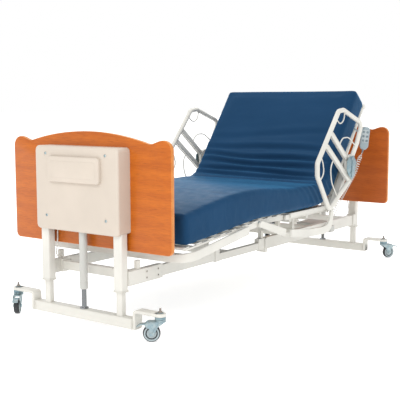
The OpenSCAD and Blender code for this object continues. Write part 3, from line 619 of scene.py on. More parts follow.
def caster(i, name):
    """A fork on its swivel, a wheel with pale discs, and a brake pedal."""
    sx, sy = (-1 if i < 2 else 1), (-1 if i % 2 == 0 else 1)
    place = Matrix.Translation((sx * STEM_X, sy * STEM_Y, 0)) @ Matrix.Rotation(RAD(TURNS[i]), 4, "Z")
    s = Shape(place)
    s.lathe([(0, 0.084), (0.0215, 0.084), (0.0240, 0.0862), (0.0240, 0.0890), (0.0222, 0.0905),
             (0.0236, 0.0925), (0.0236, 0.0948), (0.0222, 0.096), (0, 0.096)], at(0, 0, 0), 48)
    s.box((-0.006, -0.0175, 0.0840), (0.051, 0.0175, 0.0900), 0.0014)
    cheek = [(-0.014, 0.090), (-0.013, 0.081), (0.010, 0.066), (0.0285, 0.0310), (0.0320, 0.0270),
             (0.0420, 0.0270), (0.0455, 0.0310), (0.0475, 0.058), (0.066, 0.069), (0.066, 0.079),
             (0.051, 0.090)]
    for side, axis in ((-1, "-Y"), (1, "Y")):
        s.prism(cheek, 0.0145 if side > 0 else -0.0175, 0.003, 0.0007)
        # a pressed rib, the axle's washer and its head or nut
        s.tube([(a, side * 0.0172, b) for a, b in ((0.008, 0.078), (0.022, 0.060), (0.030, 0.048))],
               [0.0022, 0.003, 0.0018], 10)
        axle = at(TRAIL, 0, WHEEL_R, axis)
        s.disc(0.0085, 0.0175, 0.0187, axle, 28)
        s.lathe([(0, 0.0187), (0.0064, 0.0187), (0.0064, 0.0208), (0.0052, 0.0215), (0, 0.0215)], axle, 6)
    s.disc(0.0038, -0.0175, 0.0175, at(TRAIL, 0, WHEEL_R, "Y"), 20)
    s.build(f"{name}_fork", f"{name}_caster", [FORK_ZINC], (f"caster_fork_{i + 1}",), "zinc_plate")

    s = Shape(place @ at(TRAIL, 0, WHEEL_R, "Y"))
    h, r = 0.0125, WHEEL_R      # half width and radius of the wheel
    flank = [(r - 0.0115, h - 0.004), (r - 0.0105, h - 0.001), (r - 0.0085, h), (r - 0.0045, h - 0.0004),
             (r - 0.0018, h - 0.0026), (r - 0.0005, h * 0.50), (r, h * 0.15)]
    tyre = [(a, -b) for a, b in flank] + flank[::-1]
    s.lathe(tyre[1:] + tyre[:2], at(0, 0, 0), 72)
    for turn in (Matrix.Rotation(math.pi, 4, "X"), at(0, 0, 0)):
        # pale rim, a groove whose dark tyre colour is painted shade in its recess, pale centre disc with its
        # boss
        s.lathe([(r - 0.0112, 0.0020), (r - 0.0106, h - 0.0006), (r - 0.0050, h + 0.0003),
                 (r - 0.0052, h + 0.0009), (r - 0.0112, h + 0.0002), (r - 0.0120, h - 0.0040),
                 (r - 0.0120, 0.0020)], turn, 64, 1)
        s.lathe([(r - 0.0118, 0.0020), (r - 0.0118, h - 0.0050), (0.0205, h - 0.0050), (0.0205, 0.0020)],
                turn, 48)
        s.lathe([(0.0207, 0.0020), (0.0207, h - 0.0022), (0.0195, h - 0.0014), (0.0140, h - 0.0020),
                 (0.0132, h - 0.0004), (0.0118, h + 0.0008), (0.0050, h + 0.0008), (0.0046, h - 0.001),
                 (0.0046, 0.0020)], turn, 56, 1)
    s.build(f"{name}_tyre_and_hub", f"{name}_wheel", [TYRE, HUB], (f"caster_wheel_{i + 1}",), "grey_tyre", 35)

    s = Shape(place)
    px, pz = TRAIL + 0.024, 0.076   # the pedal's pin
    s.disc(0.004, -0.0128, 0.0128, at(px, 0, pz, "Y"), 20)
    tread = [(px, pz + 0.001), (px + 0.001, pz + 0.005), (px + 0.024, pz + 0.002), (px + 0.040, pz - 0.008),
             (px + 0.038, pz - 0.011), (px + 0.023, pz - 0.002), (px + 0.001, pz - 0.001)]
    s.prism(tread, -0.0132, 0.0264, 0.0009)
    for k in range(4):   # ribs across the tread
        t = 0.010 + 0.006 * k
        z = pz + 0.0048 - (t - 0.001) * 0.13 - max(0, t - 0.024) * 0.5
        s.tube([(px + t, -0.0105, z), (px + t, 0.0105, z)], 0.0009, 8, up=(0, 0, 1))
    s.build(f"{name}_brake_pedal", f"{name}_pedal", [FORK_ZINC], (f"brake_pedal_{i + 1}",), "zinc_plate")


base("foot", -1)
base("head", 1)
for index, caster_name in enumerate(CASTERS):
    caster(index, caster_name)


# ---- ends: legs, lifting motors, boards, covers ----
def outline_round(half_y, z0, z1, r, steps):
    """A rectangle in YZ with round corners."""
    out = []
    for sy, sz, a0 in QUARTERS:
        cy, cz = sy * (half_y - r), (z1 - r if sz > 0 else z0 + r)
        out += [(cy + r * math.cos(RAD(a0 + 90 * k / steps)), cz + r * math.sin(RAD(a0 + 90 * k / steps)))
                for k in range(steps + 1)]
    return out


def domed_plate(s, outline, x0, x1, round_over, steps=5):
    """A plate on x0 whose front at x1 is rounded over: rings that pull in as they go forward."""
    part = bmesh.new()
    cy = sum(p[0] for p in outline) / len(outline)
    cz = sum(p[1] for p in outline) / len(outline)
    hy, hz = max(p[0] for p in outline) - cy, max(p[1] for p in outline) - cz
    way = 1 if x1 > x0 else -1
    rings = [[part.verts.new((x0, *p)) for p in outline]]
    for k in range(steps + 1):
        a = RAD(90 * k / steps)
        pull = round_over * (1 - math.cos(a))
        x = x1 - way * round_over * (1 - math.sin(a))
        ky, kz = (hy - pull) / hy, (hz - pull) / hz
        rings.append([part.verts.new((x, cy + (p[0] - cy) * ky, cz + (p[1] - cz) * kz))
                      for p in outline])
    skin(part, rings)
    s.take(part, 0)


def board_top(y):
    """Height of a board's top edge: an arc, a dip on each side of it, and round shoulders."""
    shoulder, rise = 0.045, 0.017
    dip_y, shoulder_y = 0.375 * BOARD_W, BOARD_W / 2 - shoulder
    a = abs(y)
    arc = CROWN - CROWN_R + math.sqrt(CROWN_R ** 2 - min(a, dip_y) ** 2)
    if a <= dip_y:
        return arc
    if a <= shoulder_y:
        return arc + rise * (0.5 - 0.5 * math.cos(math.pi * (a - dip_y) / (shoulder_y - dip_y)))
    return arc + rise - shoulder + math.sqrt(max(0, shoulder ** 2 - (a - shoulder_y) ** 2))


def board(end, sx):
    """The board's two faces, the inner one in a darker painted-shade copy of the laminate, and its edge band,
    with the edges eased.
    """
    half, r, ease = BOARD_W / 2, 0.025, 0.0022
    line = [(y, board_top(y)) for y in (half * math.sin(RAD(90 * i / 60)) for i in range(-60, 61))]
    for s0 in (1, -1):
        for k in range(9):
            a = RAD(-90 * k / 8 if s0 > 0 else -90 - 90 * k / 8)
            line.append((s0 * (half - r) + r * math.cos(a), BOARD_LOW + r + r * math.sin(a)))
    part = bmesh.new()
    n = len(line)
    inner, outer = sx * (HALF_L - BOARD_T), sx * HALF_L

    def ring(x, pull):
        out = []
        for i, (y, z) in enumerate(line):
            a, b = line[i - 1], line[(i + 1) % n]
            t = Vector((b[0] - a[0], b[1] - a[1])).normalized()
            out.append(part.verts.new((x, y + t.y * pull, z - t.x * pull)))
        return out

    skin(part, [ring(x, pull) for x, pull in (
        (inner, ease), (inner + sx * ease * 0.3, ease * 0.3), (inner + sx * ease, 0),
        (outer - sx * ease, 0), (outer - sx * ease * 0.3, ease * 0.3), (outer, ease))])
    s = Shape()
    s.take(part, 0)
    s.bm.faces.ensure_lookup_table()
    s.bm.normal_update()
    for f in s.bm.faces:   # outer face, inner face in the darker painted-shade copy of the laminate, and the band round the edge
        f.material_index = 2 if f.calc_area() < 0.1 else (0 if f.normal.x * sx > 0 else 1)
    s.build(f"{end}board_panel", "lift_frame", [CHERRY, CHERRY_SHADED, EDGE_BAND], (f"{end}board",),
            "cherry_laminate")


def end_frame(end, sx):
    """The outer legs with their tabs and cross tube, and the lift actuator between them."""
    x = sx * LEG_X
    s = Shape()
    for sy in (-1, 1):
        s.square_tube((x, sy * LEG_Y), (0.021, 0.024), 0.004, 0.192, 0.775, 0.006)
        for z in (0.500, 0.700):
            s.box((x - sx * 0.021, sy * LEG_Y - 0.023, z), (sx * HALF_L, sy * LEG_Y + 0.023, z + 0.040))
    s.box((x - 0.0205, -LEG_Y + 0.024, 0.7405), (x + 0.0205, LEG_Y - 0.024, 0.7745), 0.004)
    s.build(f"{end}_outer_leg_pair", "lift_frame", [CREAM], (f"{end}_outer_legs",), "cream_paint")

    s = Shape()
    s.lathe([(0.0118, 0.170), (0.0171, 0.170), (0.0183, 0.1712), (0.0183, 0.2030), (0.0177, 0.2038),
             (0.0177, 0.2062), (0.0183, 0.2070), (0.0183, 0.739), (0.0173, 0.740), (0.0118, 0.740),
             (0.0118, 0.170)], at(x, 0, 0), 48)
    s.box((x - 0.024, -0.030, 0.640), (x + 0.024, 0.110, 0.700), 0.007, 1, segments=3)
    s.lathe([(0, 0.560), (0.0195, 0.560), (0.0220, 0.5625), (0.0220, 0.598), (0.0212, 0.599), (0.0212, 0.601),
             (0.0220, 0.602), (0.0220, 0.641), (0, 0.641)], at(x, 0.085, 0), 48, 1)
    s.build(f"{end}_lift_actuator", "lift_frame", [MOTOR, DARK_MOTOR], (f"{end}_lift_motor",), "motor_grey")


COVER_D, COVER_W, COVER_LOW, COVER_TOP = 0.080, 0.500, 0.431, 0.810


def cover(end, sx):
    """A moulded hood over the legs: round front, hollow, open to the board and for the legs below."""
    back, front = sx * HALF_L, sx * (HALF_L + COVER_D)
    s = Shape()
    domed_plate(s, outline_round(COVER_W / 2, COVER_LOW, COVER_TOP, 0.020, 10), back, front, 0.011, 7)
    caps = [f for f in s.bm.faces if abs(f.calc_center_median().x - back) < 1e-5 and len(f.verts) > 8]
    bmesh.ops.delete(s.bm, geom=caps, context="FACES")
    hood = s.build(f"{end}_cover_hood", None, [BEIGE])
    thick = hood.modifiers.new("wall", "SOLIDIFY")
    thick.thickness, thick.offset = 0.004, -1
    cutter = Shape()     # the opening in the floor that the legs and the actuator come out of
    lo, hi = sorted((back - sx * 0.002, front - sx * 0.022))
    cutter.box((lo, 0.003 - COVER_W / 2, COVER_LOW - 0.008), (hi, COVER_W / 2 - 0.003, COVER_LOW + 0.014),
               0.004)
    tool = cutter.build("cut", None, [])
    cut = hood.modifiers.new("slot", "BOOLEAN")
    cut.object, cut.operation, cut.solver = tool, "DIFFERENCE", "EXACT"
    applied(hood)
    bpy.data.objects.remove(tool)
    hood.data.set_sharp_from_angle(angle=RAD(38))
    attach(hood, "lift_frame")
    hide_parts(f"{end}_cover")


def cover_trim():
    """The blank raised plate and the four screws on the front of each cover."""
    s, t = Shape(), Shape()
    for sx in (-1, 1):
        front = sx * (HALF_L + COVER_D)
        domed_plate(s, outline_round(0.155, 0.651, 0.766, 0.016, 8), front - sx * 0.001, front + sx * 0.018,
                    0.007)
        domed_plate(s, outline_round(0.134, 0.672, 0.745, 0.010, 8), front + sx * 0.014, front + sx * 0.0188,
                    0.0008, 2)
        for y in (-0.180, 0.180):
            for z in (0.496, 0.776):
                place = at(front, y, z, "X" if sx > 0 else "-X")
                t.lathe([(0, -0.001), (0.0066, -0.001), (0.0066, 0.0008), (0.0056, 0.0024), (0.0034, 0.0034),
                         (0.0034, 0.0014), (0, 0.0014)], place, 24)
                t.lathe([(0.0066, -0.0005), (0.0098, -0.0005), (0.0098, 0.0003), (0.0066, 0.0008)], place, 28,
                        1)
    s.build("blank_cover_plates", "lift_frame", [BEIGE], ("cover_plates",), "beige_cover")
    t.build("cover_screw_heads", "lift_frame", [FORK_ZINC, BEIGE], ("cover_screws",), "zinc_plate")


for end_name, sign in (("foot", -1), ("head", 1)):
    board(end_name, sign)
    end_frame(end_name, sign)
    cover(end_name, sign)
cover_trim()

# CAD nodes whose own shape is right get their finish here
CARRIED = {
    **dict.fromkeys(("foot_half_frame", "head_half_frame", "seat_frame", "back_frame", "rail_brackets",
                     "thigh_frame"), CREAM),
    **dict.fromkeys(("back_motor", "knee_motor", "control_box"), MOTOR),
    "leg_glides": GLIDE, "frame_couplers": ZINC, "back_rod": CHROME, "knee_rod": CHROME,
}
for node_name, finish in CARRIED.items():
    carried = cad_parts[node_name]
    carried.data.materials.clear()
    carried.data.materials.append(finish)


# ---- foot section: a flat bar bent round the foot end, slats and hinge plates ----
def foot_section():
    """The bent bar, its two hinge plates with their pins, and seven riveted slats."""
    s = Shape(ON_FOOT)
    half_t, half_h, start = 0.0065, 0.020, -0.121      # the bar's section, and where it starts
    far, y = -FOOT_L - start + half_t, 0.4555
    loop = rounded([(0, -y, half_h), (far, -y, half_h), (far, y, half_h), (0, y, half_h)], 0.0835, 14)
    s.flat_bar(loop, half_t, half_h, (0, 0, 1), 0.0015,
               Matrix.Translation((start, 0, -0.028)) @ Matrix.Rotation(RAD(-3), 4, "Y"))
    plate = [(-0.150, -0.016), (0.003, -0.016), (0.012, -0.007), (0.012, 0.004), (0.0045, 0.0118),
             (-0.150, 0.0118)]
    for sy in (-1, 1):
        s.prism(plate, 0.428 if sy > 0 else -0.440, 0.012, 0.001)
        s.lathe([(0, 0.440), (0.010, 0.440), (0.010, 0.4412), (0.008, 0.4418), (0, 0.4418)],
                at(0, 0, 0, "Y" if sy > 0 else "-Y"), 24, 1)
        s.box((-0.150, sy * 0.440, -0.016), (-0.128, sy * 0.449, 0.0106), 0.0012)
        s.box((-0.612, sy * 0.436, 0.003), (-0.150, sy * 0.448, 0.0118), 0.0012)
    for k in range(7):
        x = -0.602 + 0.094 * k
        s.box((x - 0.020, -0.446, 0.012), (x + 0.020, 0.446, DECK), 0.0012)
        for sy in (-1, 1):   # rivets of each slat
            s.lathe([(0, 0.0178), (0.0045, 0.0178), (0.004, 0.0184), (0.0018, 0.0187), (0, 0.0187)],
                    at(x, sy * 0.440, 0), 16, 1)
    s.build("foot_section_frame", "foot_section", [CREAM, ZINC], ("foot_frame",), "cream_paint")


foot_section()


# ---- assist rails ----
# in the plane of a rail, from its pivot, in mm
RAIL_LINE = [(-318, -10), (-280, 226), (-232, 277), (130, 299), (176, 262), (288, 36), (165, 0), (50, -10),
             (-39, -84)]
POSTS = (((13, 24), (-19, 287)), ((-54, -64), (-104, 280)))
# the filler wires: points, and the radius of the bends
WIRES = (([(-2, 150), (62, 158), (120, 100), (146, -2)], 100),
         ([(84, 294), (92, 234), (140, 212), (188, 242)], 46),
         ([(-178, 278), (-186, 232), (-214, 178), (-286, 186)], 66),
         ([(-84, 150), (-148, 144), (-194, 76), (-204, -36)], 104))
HUB = [(-58, -84), (-20, -84), (62, -20), (62, 22), (30, 36), (-4, 36), (-62, -30)]
LATCH = [(-42, -76), (0, -80), (66, -42), (64, 10), (22, 44), (-14, 46), (-46, 18), (-54, -24)]


def in_plane(points, y=0):
    return [(a / 1000, y, b / 1000) for a, b in points]


def metres(points):
    return [(a / 1000, b / 1000) for a, b in points]


def assist_rail(side, sy):
    """A closed bent tube with two channel posts, four filler wires, a hub and a latch plate."""
    pivot = Matrix.Translation((PIVOT[0], sy * RAIL_Y, PIVOT[1]))
    place = ON_BACK @ pivot @ Matrix.Rotation(RAIL_LEAN, 4, "Y")
    s = Shape(place)
    s.tube(rounded(in_plane(RAIL_LINE), 0.036, 14, True), 0.013, 24, True)
    for post in POSTS:
        a, b = map(Vector, in_plane(post))
        d = b - a
        turn = Matrix.Translation(a) @ Matrix.Rotation(math.atan2(d.x, d.z), 4, "Y")
        s.box((-0.014, -0.008, 0), (0.014, 0.008, d.length), 0.003, 0, turn, 3)
        for edge in (-1, 1):   # folded lips of the channel
            s.box((edge * 0.014 - 0.0016, sy * 0.0062, 0.018),
                  (edge * 0.014 + 0.0006, sy * 0.0098, d.length - 0.014), 0.0006, 0, turn)
    s.prism(metres(HUB), -0.009, 0.018, 0.003)
    for points, r in WIRES:
        s.tube(rounded(in_plane(points, sy * -0.0012), r / 1000, 8), 0.0035, 14)
    s.build(f"{side}_assist_rail_tube", f"{side}_assist_rail", [CREAM], (f"{side}_rail",), "cream_paint")

    s = Shape(place @ (Matrix.Identity(4) if sy < 0 else Matrix.Scale(-1, 4, (0, 1, 0))))
    s.prism(metres(LATCH), -0.020, 0.003, 0.0008)
    for x, z in ((-0.024, -0.040), (0.036, 0.016)):   # nut, spacer and washer of each bolt
        bolt = at(x, 0, z, "-Y")
        s.lathe([(0, 0.019), (0.0080, 0.019), (0.0080, 0.0245), (0.0068, 0.026), (0, 0.026)], bolt, 6)
        s.disc(0.006, 0.009, 0.0195, bolt, 24)
        s.disc(0.0105, 0.0195, 0.0208, bolt, 28)
    s.tube([(-0.040, -0.0215, -0.058), (0.008, -0.0215, -0.020), (0.050, -0.0215, 0.018)], 0.0022, 10)
    s.build(f"{side}_rail_latch_plate", f"{side}_assist_rail", [ZINC], (f"{side}_rail_latch",),
            "zinc_plate")


assist_rail("near", -1)
assist_rail("far", 1)


# ---- handset ----
HANDSET_AT = Vector((0.786, -0.458, 0.784))
HANDSET_TURN = Matrix.Rotation(RAD(13), 4, "Y") @ Matrix.Rotation(RAD(-54), 4, "Z")
HANDSET = Matrix.Translation(HANDSET_AT) @ HANDSET_TURN
KEYS_AT = {f"{what}_{way}": at(x, 0, z, "-Y")
           for what, z in (("back", 0.036), ("knee", 0.010), ("bed", -0.016))
           for way, x in (("up", -0.011), ("down", 0.011))}


def handset():
    """The shell with its panel and key rims, its hanger, both ends of its lead, and six keys."""
    s = Shape(HANDSET)
    part = bmesh.new()

    def ring(pull, y):
        w, t, low = 0.025 - pull, 0.068 - pull, -0.068 + pull
        half = [(w * 0.52, t), (w * 0.80, 0.0635), (w * 0.96, 0.056), (w, 0.045), (w, -0.045),
                (w * 0.93, -0.052), (0.014 * w / 0.025, low + 0.003), (0.008, low)]
        return [part.verts.new((x, y, z)) for x, z in half + [(-x, z) for x, z in half[::-1]]]

    skin(part, [ring(pull, y) for pull, y in (
        (0.0060, -0.0125), (0.0030, -0.0122), (0.0010, -0.0105), (0, -0.0080), (0, -0.0004), (0.0007, 0),
        (0, 0.0004), (0, 0.0060), (0.0014, 0.0098), (0.0045, 0.0121), (0.0075, 0.0125))])
    s.take(part, 0)
    s.box((-0.0175, -0.0131, -0.027), (0.0175, -0.0120, 0.049), 0.0005, 1)          # face panel
    for key_at in KEYS_AT.values():
        s.lathe([(0.0069, 0.0125), (0.0069, 0.0134), (0.0078, 0.0136), (0.0086, 0.0131), (0.0088, 0.0125)],
                key_at, 28)
    s.build("handset_shell", "back_section", [PENDANT, PENDANT_FACE], ("handset",), "pendant_case")

    # a wire from the handset's top to a ring round the back's side tube
    s = Shape()
    top = HANDSET_AT + Vector((0.016, 0, 0.065))
    end = Vector((0.6965, -0.4456, 0.8347))
    s.tube([top - Vector((0, 0, 0.012)), top, (top + end) / 2, end], 0.0022, 12)
    ring_r, ring_at = 0.0176, ON_BACK @ Vector((0.545, -SIDE_Y, DECK - 0.0202))
    turn = Matrix.Translation(ring_at) @ Matrix.Rotation(RAD(90) - BACK_REST, 4, "Y")
    circle = [turn @ Vector((ring_r * math.cos(a), ring_r * math.sin(a), 0))
              for a in around(40)]
    s.tube(circle, 0.0024, 12, True)
    s.build("handset_hanger", "back_section", [ZINC], (), "zinc_plate")

    s = Shape()
    relief = smooth_path(LEAD, 6)
    last = len(relief) - 1
    s.tube(relief, [0.0052 - 0.0026 * k / last + (0.0005 if k % 2 else 0) for k in range(last + 1)], 16)
    s.build("lead_strain_relief", "back_section", [KEYS], (), "cord_jacket")
    gland = (COIL_TOP - COIL_LOW).to_track_quat("Z", "Y").to_matrix().to_4x4()
    s = Shape(Matrix.Translation(COIL_LOW) @ gland)
    s.lathe([(0, -0.020), (0.0092, -0.020), (0.0098, -0.018), (0.0098, -0.012), (0.0088, -0.011),
             (0.0084, -0.001), (0.0060, 0.010), (0.0044, 0.018), (0.0024, 0.018), (0, 0.016)],
            at(0, 0, 0), 28)
    s.build("lead_socket_gland", "lift_frame", [MOTOR], (), "motor_grey")

    for key, key_at in KEYS_AT.items():
        s = Shape(HANDSET)
        s.lathe([(0, 0.0092), (0.0065, 0.0092), (0.0065, 0.0136), (0.0060, 0.0142), (0.0040, 0.0143),
                 (0.0020, 0.0140), (0, 0.0139)], key_at, 28)
        s.build(f"{key}_button", f"{key}_key", [KEYS], (f"key_{key}",), "pendant_key")


handset()


# ---- mattress ----
THICK, HALF_W, LIFT = 0.152, 0.460, 0.0015
# thickness at distances from the foot end: full under the legs, pressed at the hip
FULLNESS = ((0, 0.29, 0.42, 0.58, 0.74, 0.975, 1.35, 1.60, 1.90, 2.07),
            (0.148, 0.168, 0.170, 0.162, 0.150, 0.133, 0.132, 0.139, 0.144, 0.148))
CREASE = BACK_REST / 2      # slope of the surface at the hip's fold
END_U = BACK_L + 0.016      # where the mattress ends, along the back
CLOTH_STEPS = 20


def corner(p, a, q, b):
    """Where two lines in XZ meet: each is a point and an angle above +X."""
    da, db = Vector((math.cos(a), math.sin(a))), Vector((math.cos(b), math.sin(b)))
    w = Vector(q) - Vector(p)
    t = (w.x * db.y - w.y * db.x) / (da.x * db.y - da.y * db.x)
    return Vector(p) + da * t


def deck_corners():
    """Corners of the deck's upper line in XZ, from the foot end to the head end."""
    def point(place, u):
        p = place @ Vector((u, 0, DECK + 0.001))
        return Vector((p.x, p.z))
    foot0, foot1 = point(ON_FOOT, -FOOT_L + 0.009), point(ON_FOOT, 0)
    thigh = point(ON_THIGH, -0.1)
    seat, back = Vector((0.05, HINGE_Z + DECK + 0.001)), point(ON_BACK, 0.3)
    return [foot0, corner(foot1, FOOT_REST, thigh, -THIGH_REST), corner(thigh, -THIGH_REST, seat, 0),
            corner(seat, 0, back, BACK_REST), point(ON_BACK, BACK_L + 0.012)]


def stations():
    """Points of the mattress's underside with the direction across its thickness, about 12 mm apart."""
    c = deck_corners()
    cuts = (0, 0.07, 0.07, 0.145, 0)
    line = []
    for i in range(1, 4):
        a, b, d = c[i - 1], c[i], c[i + 1]
        u, v = (a - b).normalized(), (d - b).normalized()
        start = line[-1] if line else c[0]
        p, q = b + u * cuts[i], b + v * cuts[i]
        count = max(2, int((p - start).length / 0.012))
        line += [start.lerp(p, k / count) for k in range(0 if not line else 1, count + 1)]
        arc = 18 if i == 3 else 8
        line += [p.lerp(b, k / arc).lerp(b.lerp(q, k / arc), k / arc) for k in range(1, arc + 1)]
    count = int((c[4] - line[-1]).length / 0.012)
    start = line[-1]
    line += [start.lerp(c[4], k / count) for k in range(1, count + 1)]
    out = []
    for i, p in enumerate(line):
        t = (line[min(i + 1, len(line) - 1)] - line[max(i - 1, 0)]).normalized()
        out.append((p, Vector((-t.y, t.x))))
    return out


def mattress_start():
    """Rounded box section swept along the deck, a little smaller than the finished mattress."""
    bm = bmesh.new()
    rings = []
    line = stations()
    run = distances([p for p, _ in line])
    for i, (p, n) in enumerate(line):
        near_end = min(run[i], run[-1] - run[i])
        ease = 0.016
        pull = ease - math.sqrt(max(0, ease ** 2 - max(0, ease - near_end) ** 2)) if near_end < ease else 0
        thick = float(np.interp(run[i], FULLNESS[0], FULLNESS[1]))
        low, high, half = 0.004 + pull, thick - 0.005 - pull, HALF_W - 0.006 - pull
        r = 0.019
        ring = []
        for sy, top, a0 in QUARTERS:
            cy, cv = sy * (half - r), (high - r if top > 0 else low + r)
            for k in range(6):
                a = RAD(a0 + 18 * k)
                ring.append((cy + r * math.cos(a), cv + r * math.sin(a)))
        full = []
        for k in range(24):   # extra points along the flats
            y0, v0 = ring[k]
            y1, v1 = ring[(k + 1) % 24]
            full.append((y0, v0))
            more = {5: 26, 17: 26, 11: 3, 23: 3}.get(k, 0)
            full += [(y0 + (y1 - y0) * j / (more + 1), v0 + (v1 - v0) * j / (more + 1))
                     for j in range(1, more + 1)]
        rings.append([bm.verts.new((p.x + n.x * v, y, p.y + n.y * v)) for y, v in full])
    skin(bm, rings)
    bmesh.ops.recalc_face_normals(bm, faces=bm.faces)
    mesh = bpy.data.meshes.new("mattress")
    bm.to_mesh(mesh)
    bm.free()
    obj = in_scene("mattress", mesh)
    return obj


def rows(mesh, what):
    """A property of a mesh's vertices, three numbers for each."""
    out = np.zeros(len(mesh.vertices) * 3, np.float32)
    mesh.vertices.foreach_get(what, out)
    return out.reshape(-1, 3)


def swollen(obj, voxel, cap):
    """Even remesh, then the cover swells under pressure in a cloth simulation; moves are capped."""
    remesh = obj.modifiers.new("even", "REMESH")
    remesh.mode, remesh.voxel_size = "VOXEL", voxel
    applied(obj)
    before = rows(obj.data, "co")
    cloth = obj.modifiers.new("cover", "CLOTH")
    s = cloth.settings
    s.quality, s.mass = 4, 0.35
    s.tension_stiffness = s.compression_stiffness = 22
    s.shear_stiffness, s.bending_stiffness = 12, 0.8
    s.use_pressure, s.uniform_pressure_force = True, 4.0
    s.effector_weights.gravity = 0
    cloth.collision_settings.use_collision = False
    cloth.point_cache.frame_start, cloth.point_cache.frame_end = 1, CLOTH_STEPS
    for step in range(1, CLOTH_STEPS + 1):
        bpy.context.scene.frame_set(step)
    dg = bpy.context.evaluated_depsgraph_get()
    mesh = obj.evaluated_get(dg).to_mesh()
    after = rows(mesh, "co")
    obj.evaluated_get(dg).to_mesh_clear()
    obj.modifiers.clear()
    move = after - before
    size = np.linalg.norm(move, axis=1)
    move *= (np.minimum(size, cap) / np.maximum(size, 1e-9))[:, None]
    obj.data.vertices.foreach_set("co", (before + move).ravel())
    bpy.context.scene.frame_set(1)
    return obj


# folds at the hip: place along the surface, half width, depth, slant, wander and phase
FOLDS = (
    (-0.050, 0.011, 0.0060, 0.030, 0.020, 0.3),
    (-0.006, 0.011, 0.0110, 0.035, 0.020, 1.1),
    (0.042, 0.011, 0.0150, 0.030, 0.018, 2.2),
    (0.088, 0.012, 0.0160, 0.020, 0.020, 3.4),
    (0.136, 0.012, 0.0140, 0.012, 0.024, 4.3),
    (0.186, 0.014, 0.0090, 0.000, 0.030, 5.2),
    (0.262, 0.018, 0.0040, -0.030, 0.045, 6.4),
)


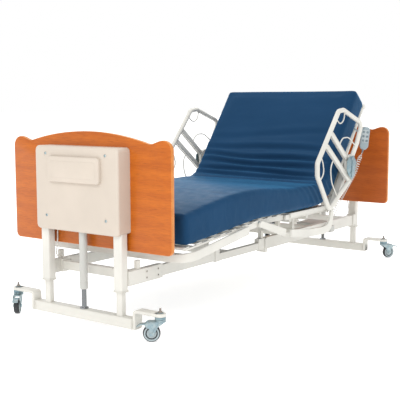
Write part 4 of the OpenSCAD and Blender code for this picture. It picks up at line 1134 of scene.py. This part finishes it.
def dress(obj):
    """One subdivision, then folds at the hip, slack puckers and a firm seat on the deck."""
    sub = obj.modifiers.new("finer", "SUBSURF")
    sub.levels = sub.render_levels = 1
    applied(obj)
    me = obj.data
    co, nor = rows(me, "co").astype(float), rows(me, "normal")
    c = deck_corners()
    hip = c[3]
    across = np.array((math.cos(CREASE), math.sin(CREASE)))
    up = np.array((-math.sin(CREASE), math.cos(CREASE)))
    rel = co[:, [0, 2]] - np.array(hip)
    e, v = rel @ across, rel @ up
    y = co[:, 1]
    facing = np.clip(nor[:, 0] * up[0] + nor[:, 2] * up[1], 0, 1)
    top = np.clip((facing - 0.25) / 0.5, 0, 1)
    side = np.clip(1 - (np.abs(y) / HALF_W) ** 5, 0, 1)
    seed, seed2 = (np.array([noise.noise(Vector((q * k, a, b))) for q in y])
                   for k, a, b in ((1.7, 3.1, 0.4), (2.3, 9.7, 1.3)))
    push = np.zeros(len(co))
    for place, width, depth, slant, wander, phase in FOLDS:
        where = place + slant * y + wander * np.array([noise.noise(Vector((q * 2.6, phase, 0.7))) for q in y])
        bulge = np.abs(y / HALF_W + 0.2 * math.sin(phase * 3))
        fade = side * np.clip(1.15 - 0.5 * bulge + 0.5 * seed2, 0.1, 1.25)
        t = (e - where) / width
        push += -depth * fade * np.exp(-t * t) + 0.55 * depth * fade * np.exp(-((t - 1.9) / 1.1) ** 2)
    near = np.exp(-(e / 0.30) ** 2)
    fine, fine2 = (np.array([noise.noise(Vector((p[0] * a + b, p[1] * c, p[2] * a))) for p in co])
                   for a, b, c in ((9, 0, 2.2), (24, 5, 7)))
    push = push * top + fine * (0.0016 + 0.0030 * near) * top + fine2 * 0.0008 * (0.3 + near)
    # short slanting puckers on the sides by the hip
    flank = np.clip((np.abs(y) - HALF_W + 0.03) / 0.02, 0, 1) * np.exp(-((e + 0.02) / 0.17) ** 2)
    push += flank * 0.0028 * np.sin(e * 150 + v * 40 + 3 * seed) * np.clip(v / THICK, 0, 1) ** 0.7
    co += nor * push[:, None]
    # nothing below the deck
    floor = np.interp(co[:, 0], [p.x for p in c], [p.y for p in c]) + LIFT
    # past the side tubes the cover hangs a little below the back's deck
    lean = np.array((math.cos(BACK_REST), math.sin(BACK_REST)))
    u, n = rel @ lean, rel @ np.array((-lean[1], lean[0]))
    hang = (np.clip((u - 0.29) / 0.06, 0, 1) * np.clip((np.abs(y) - 0.437) / 0.012, 0, 1)
            * np.clip(1 - n / 0.07, 0, 1))
    co[:, 0] += lean[1] * 0.009 * hang
    co[:, 2] -= lean[0] * 0.009 * hang
    floor -= 0.032 * hang
    co[:, 2] = np.maximum(co[:, 2], floor)
    co[:, 1] = np.clip(co[:, 1], -HALF_W - 0.006, HALF_W + 0.006)
    # the head end stops short of the headboard when the deck lies flat
    over = np.maximum((co[:, [0, 2]] - np.array(hip)) @ lean - END_U, 0)
    co[:, 0] -= over * lean[0]
    co[:, 2] -= over * lean[1]
    me.vertices.foreach_set("co", co.astype(np.float32).ravel())
    me.update()
    return obj


def slice_of(obj, name, planes):
    """A closed part of the mattress between planes, each a point and the direction of what goes."""
    bm = bmesh.new()
    bm.from_mesh(obj.data)
    for point, away in planes:
        cut = bmesh.ops.bisect_plane(bm, geom=bm.verts[:] + bm.edges[:] + bm.faces[:], plane_co=point,
                                     plane_no=away, clear_outer=True)
        rim = [g for g in cut["geom_cut"] if isinstance(g, bmesh.types.BMEdge)]
        made = bmesh.ops.holes_fill(bm, edges=rim, sides=0)
        for edge in rim:
            edge.smooth = False
        for f in made["faces"]:
            f.smooth = False
    mesh = bpy.data.meshes.new(name)
    for f in bm.faces:
        if len(f.verts) <= 4:
            f.smooth = True
    bm.to_mesh(mesh)
    bm.free()
    mesh.materials.append(NAVY)
    part = in_scene(name, mesh)
    return part


def mattress():
    whole = dress(swollen(mattress_start(), 0.013, 0.006))
    seat_cut, thigh_cut, along = Vector((0, 0, 0)), Vector((-0.238, 0, 0)), Vector((1, 0, 0))
    upper = slice_of(whole, "mattress_upper", [(seat_cut, -along)])
    middle = slice_of(whole, "mattress_middle", [(seat_cut, along), (thigh_cut, -along)])
    lower = slice_of(whole, "mattress_lower", [(thigh_cut, along)])
    bpy.data.objects.remove(whole)
    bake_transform(upper)
    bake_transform(middle)
    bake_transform(lower)
    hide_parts("mattress_back", "mattress_seat")
    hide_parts("mattress_thigh")
    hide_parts("mattress_foot")


mattress()
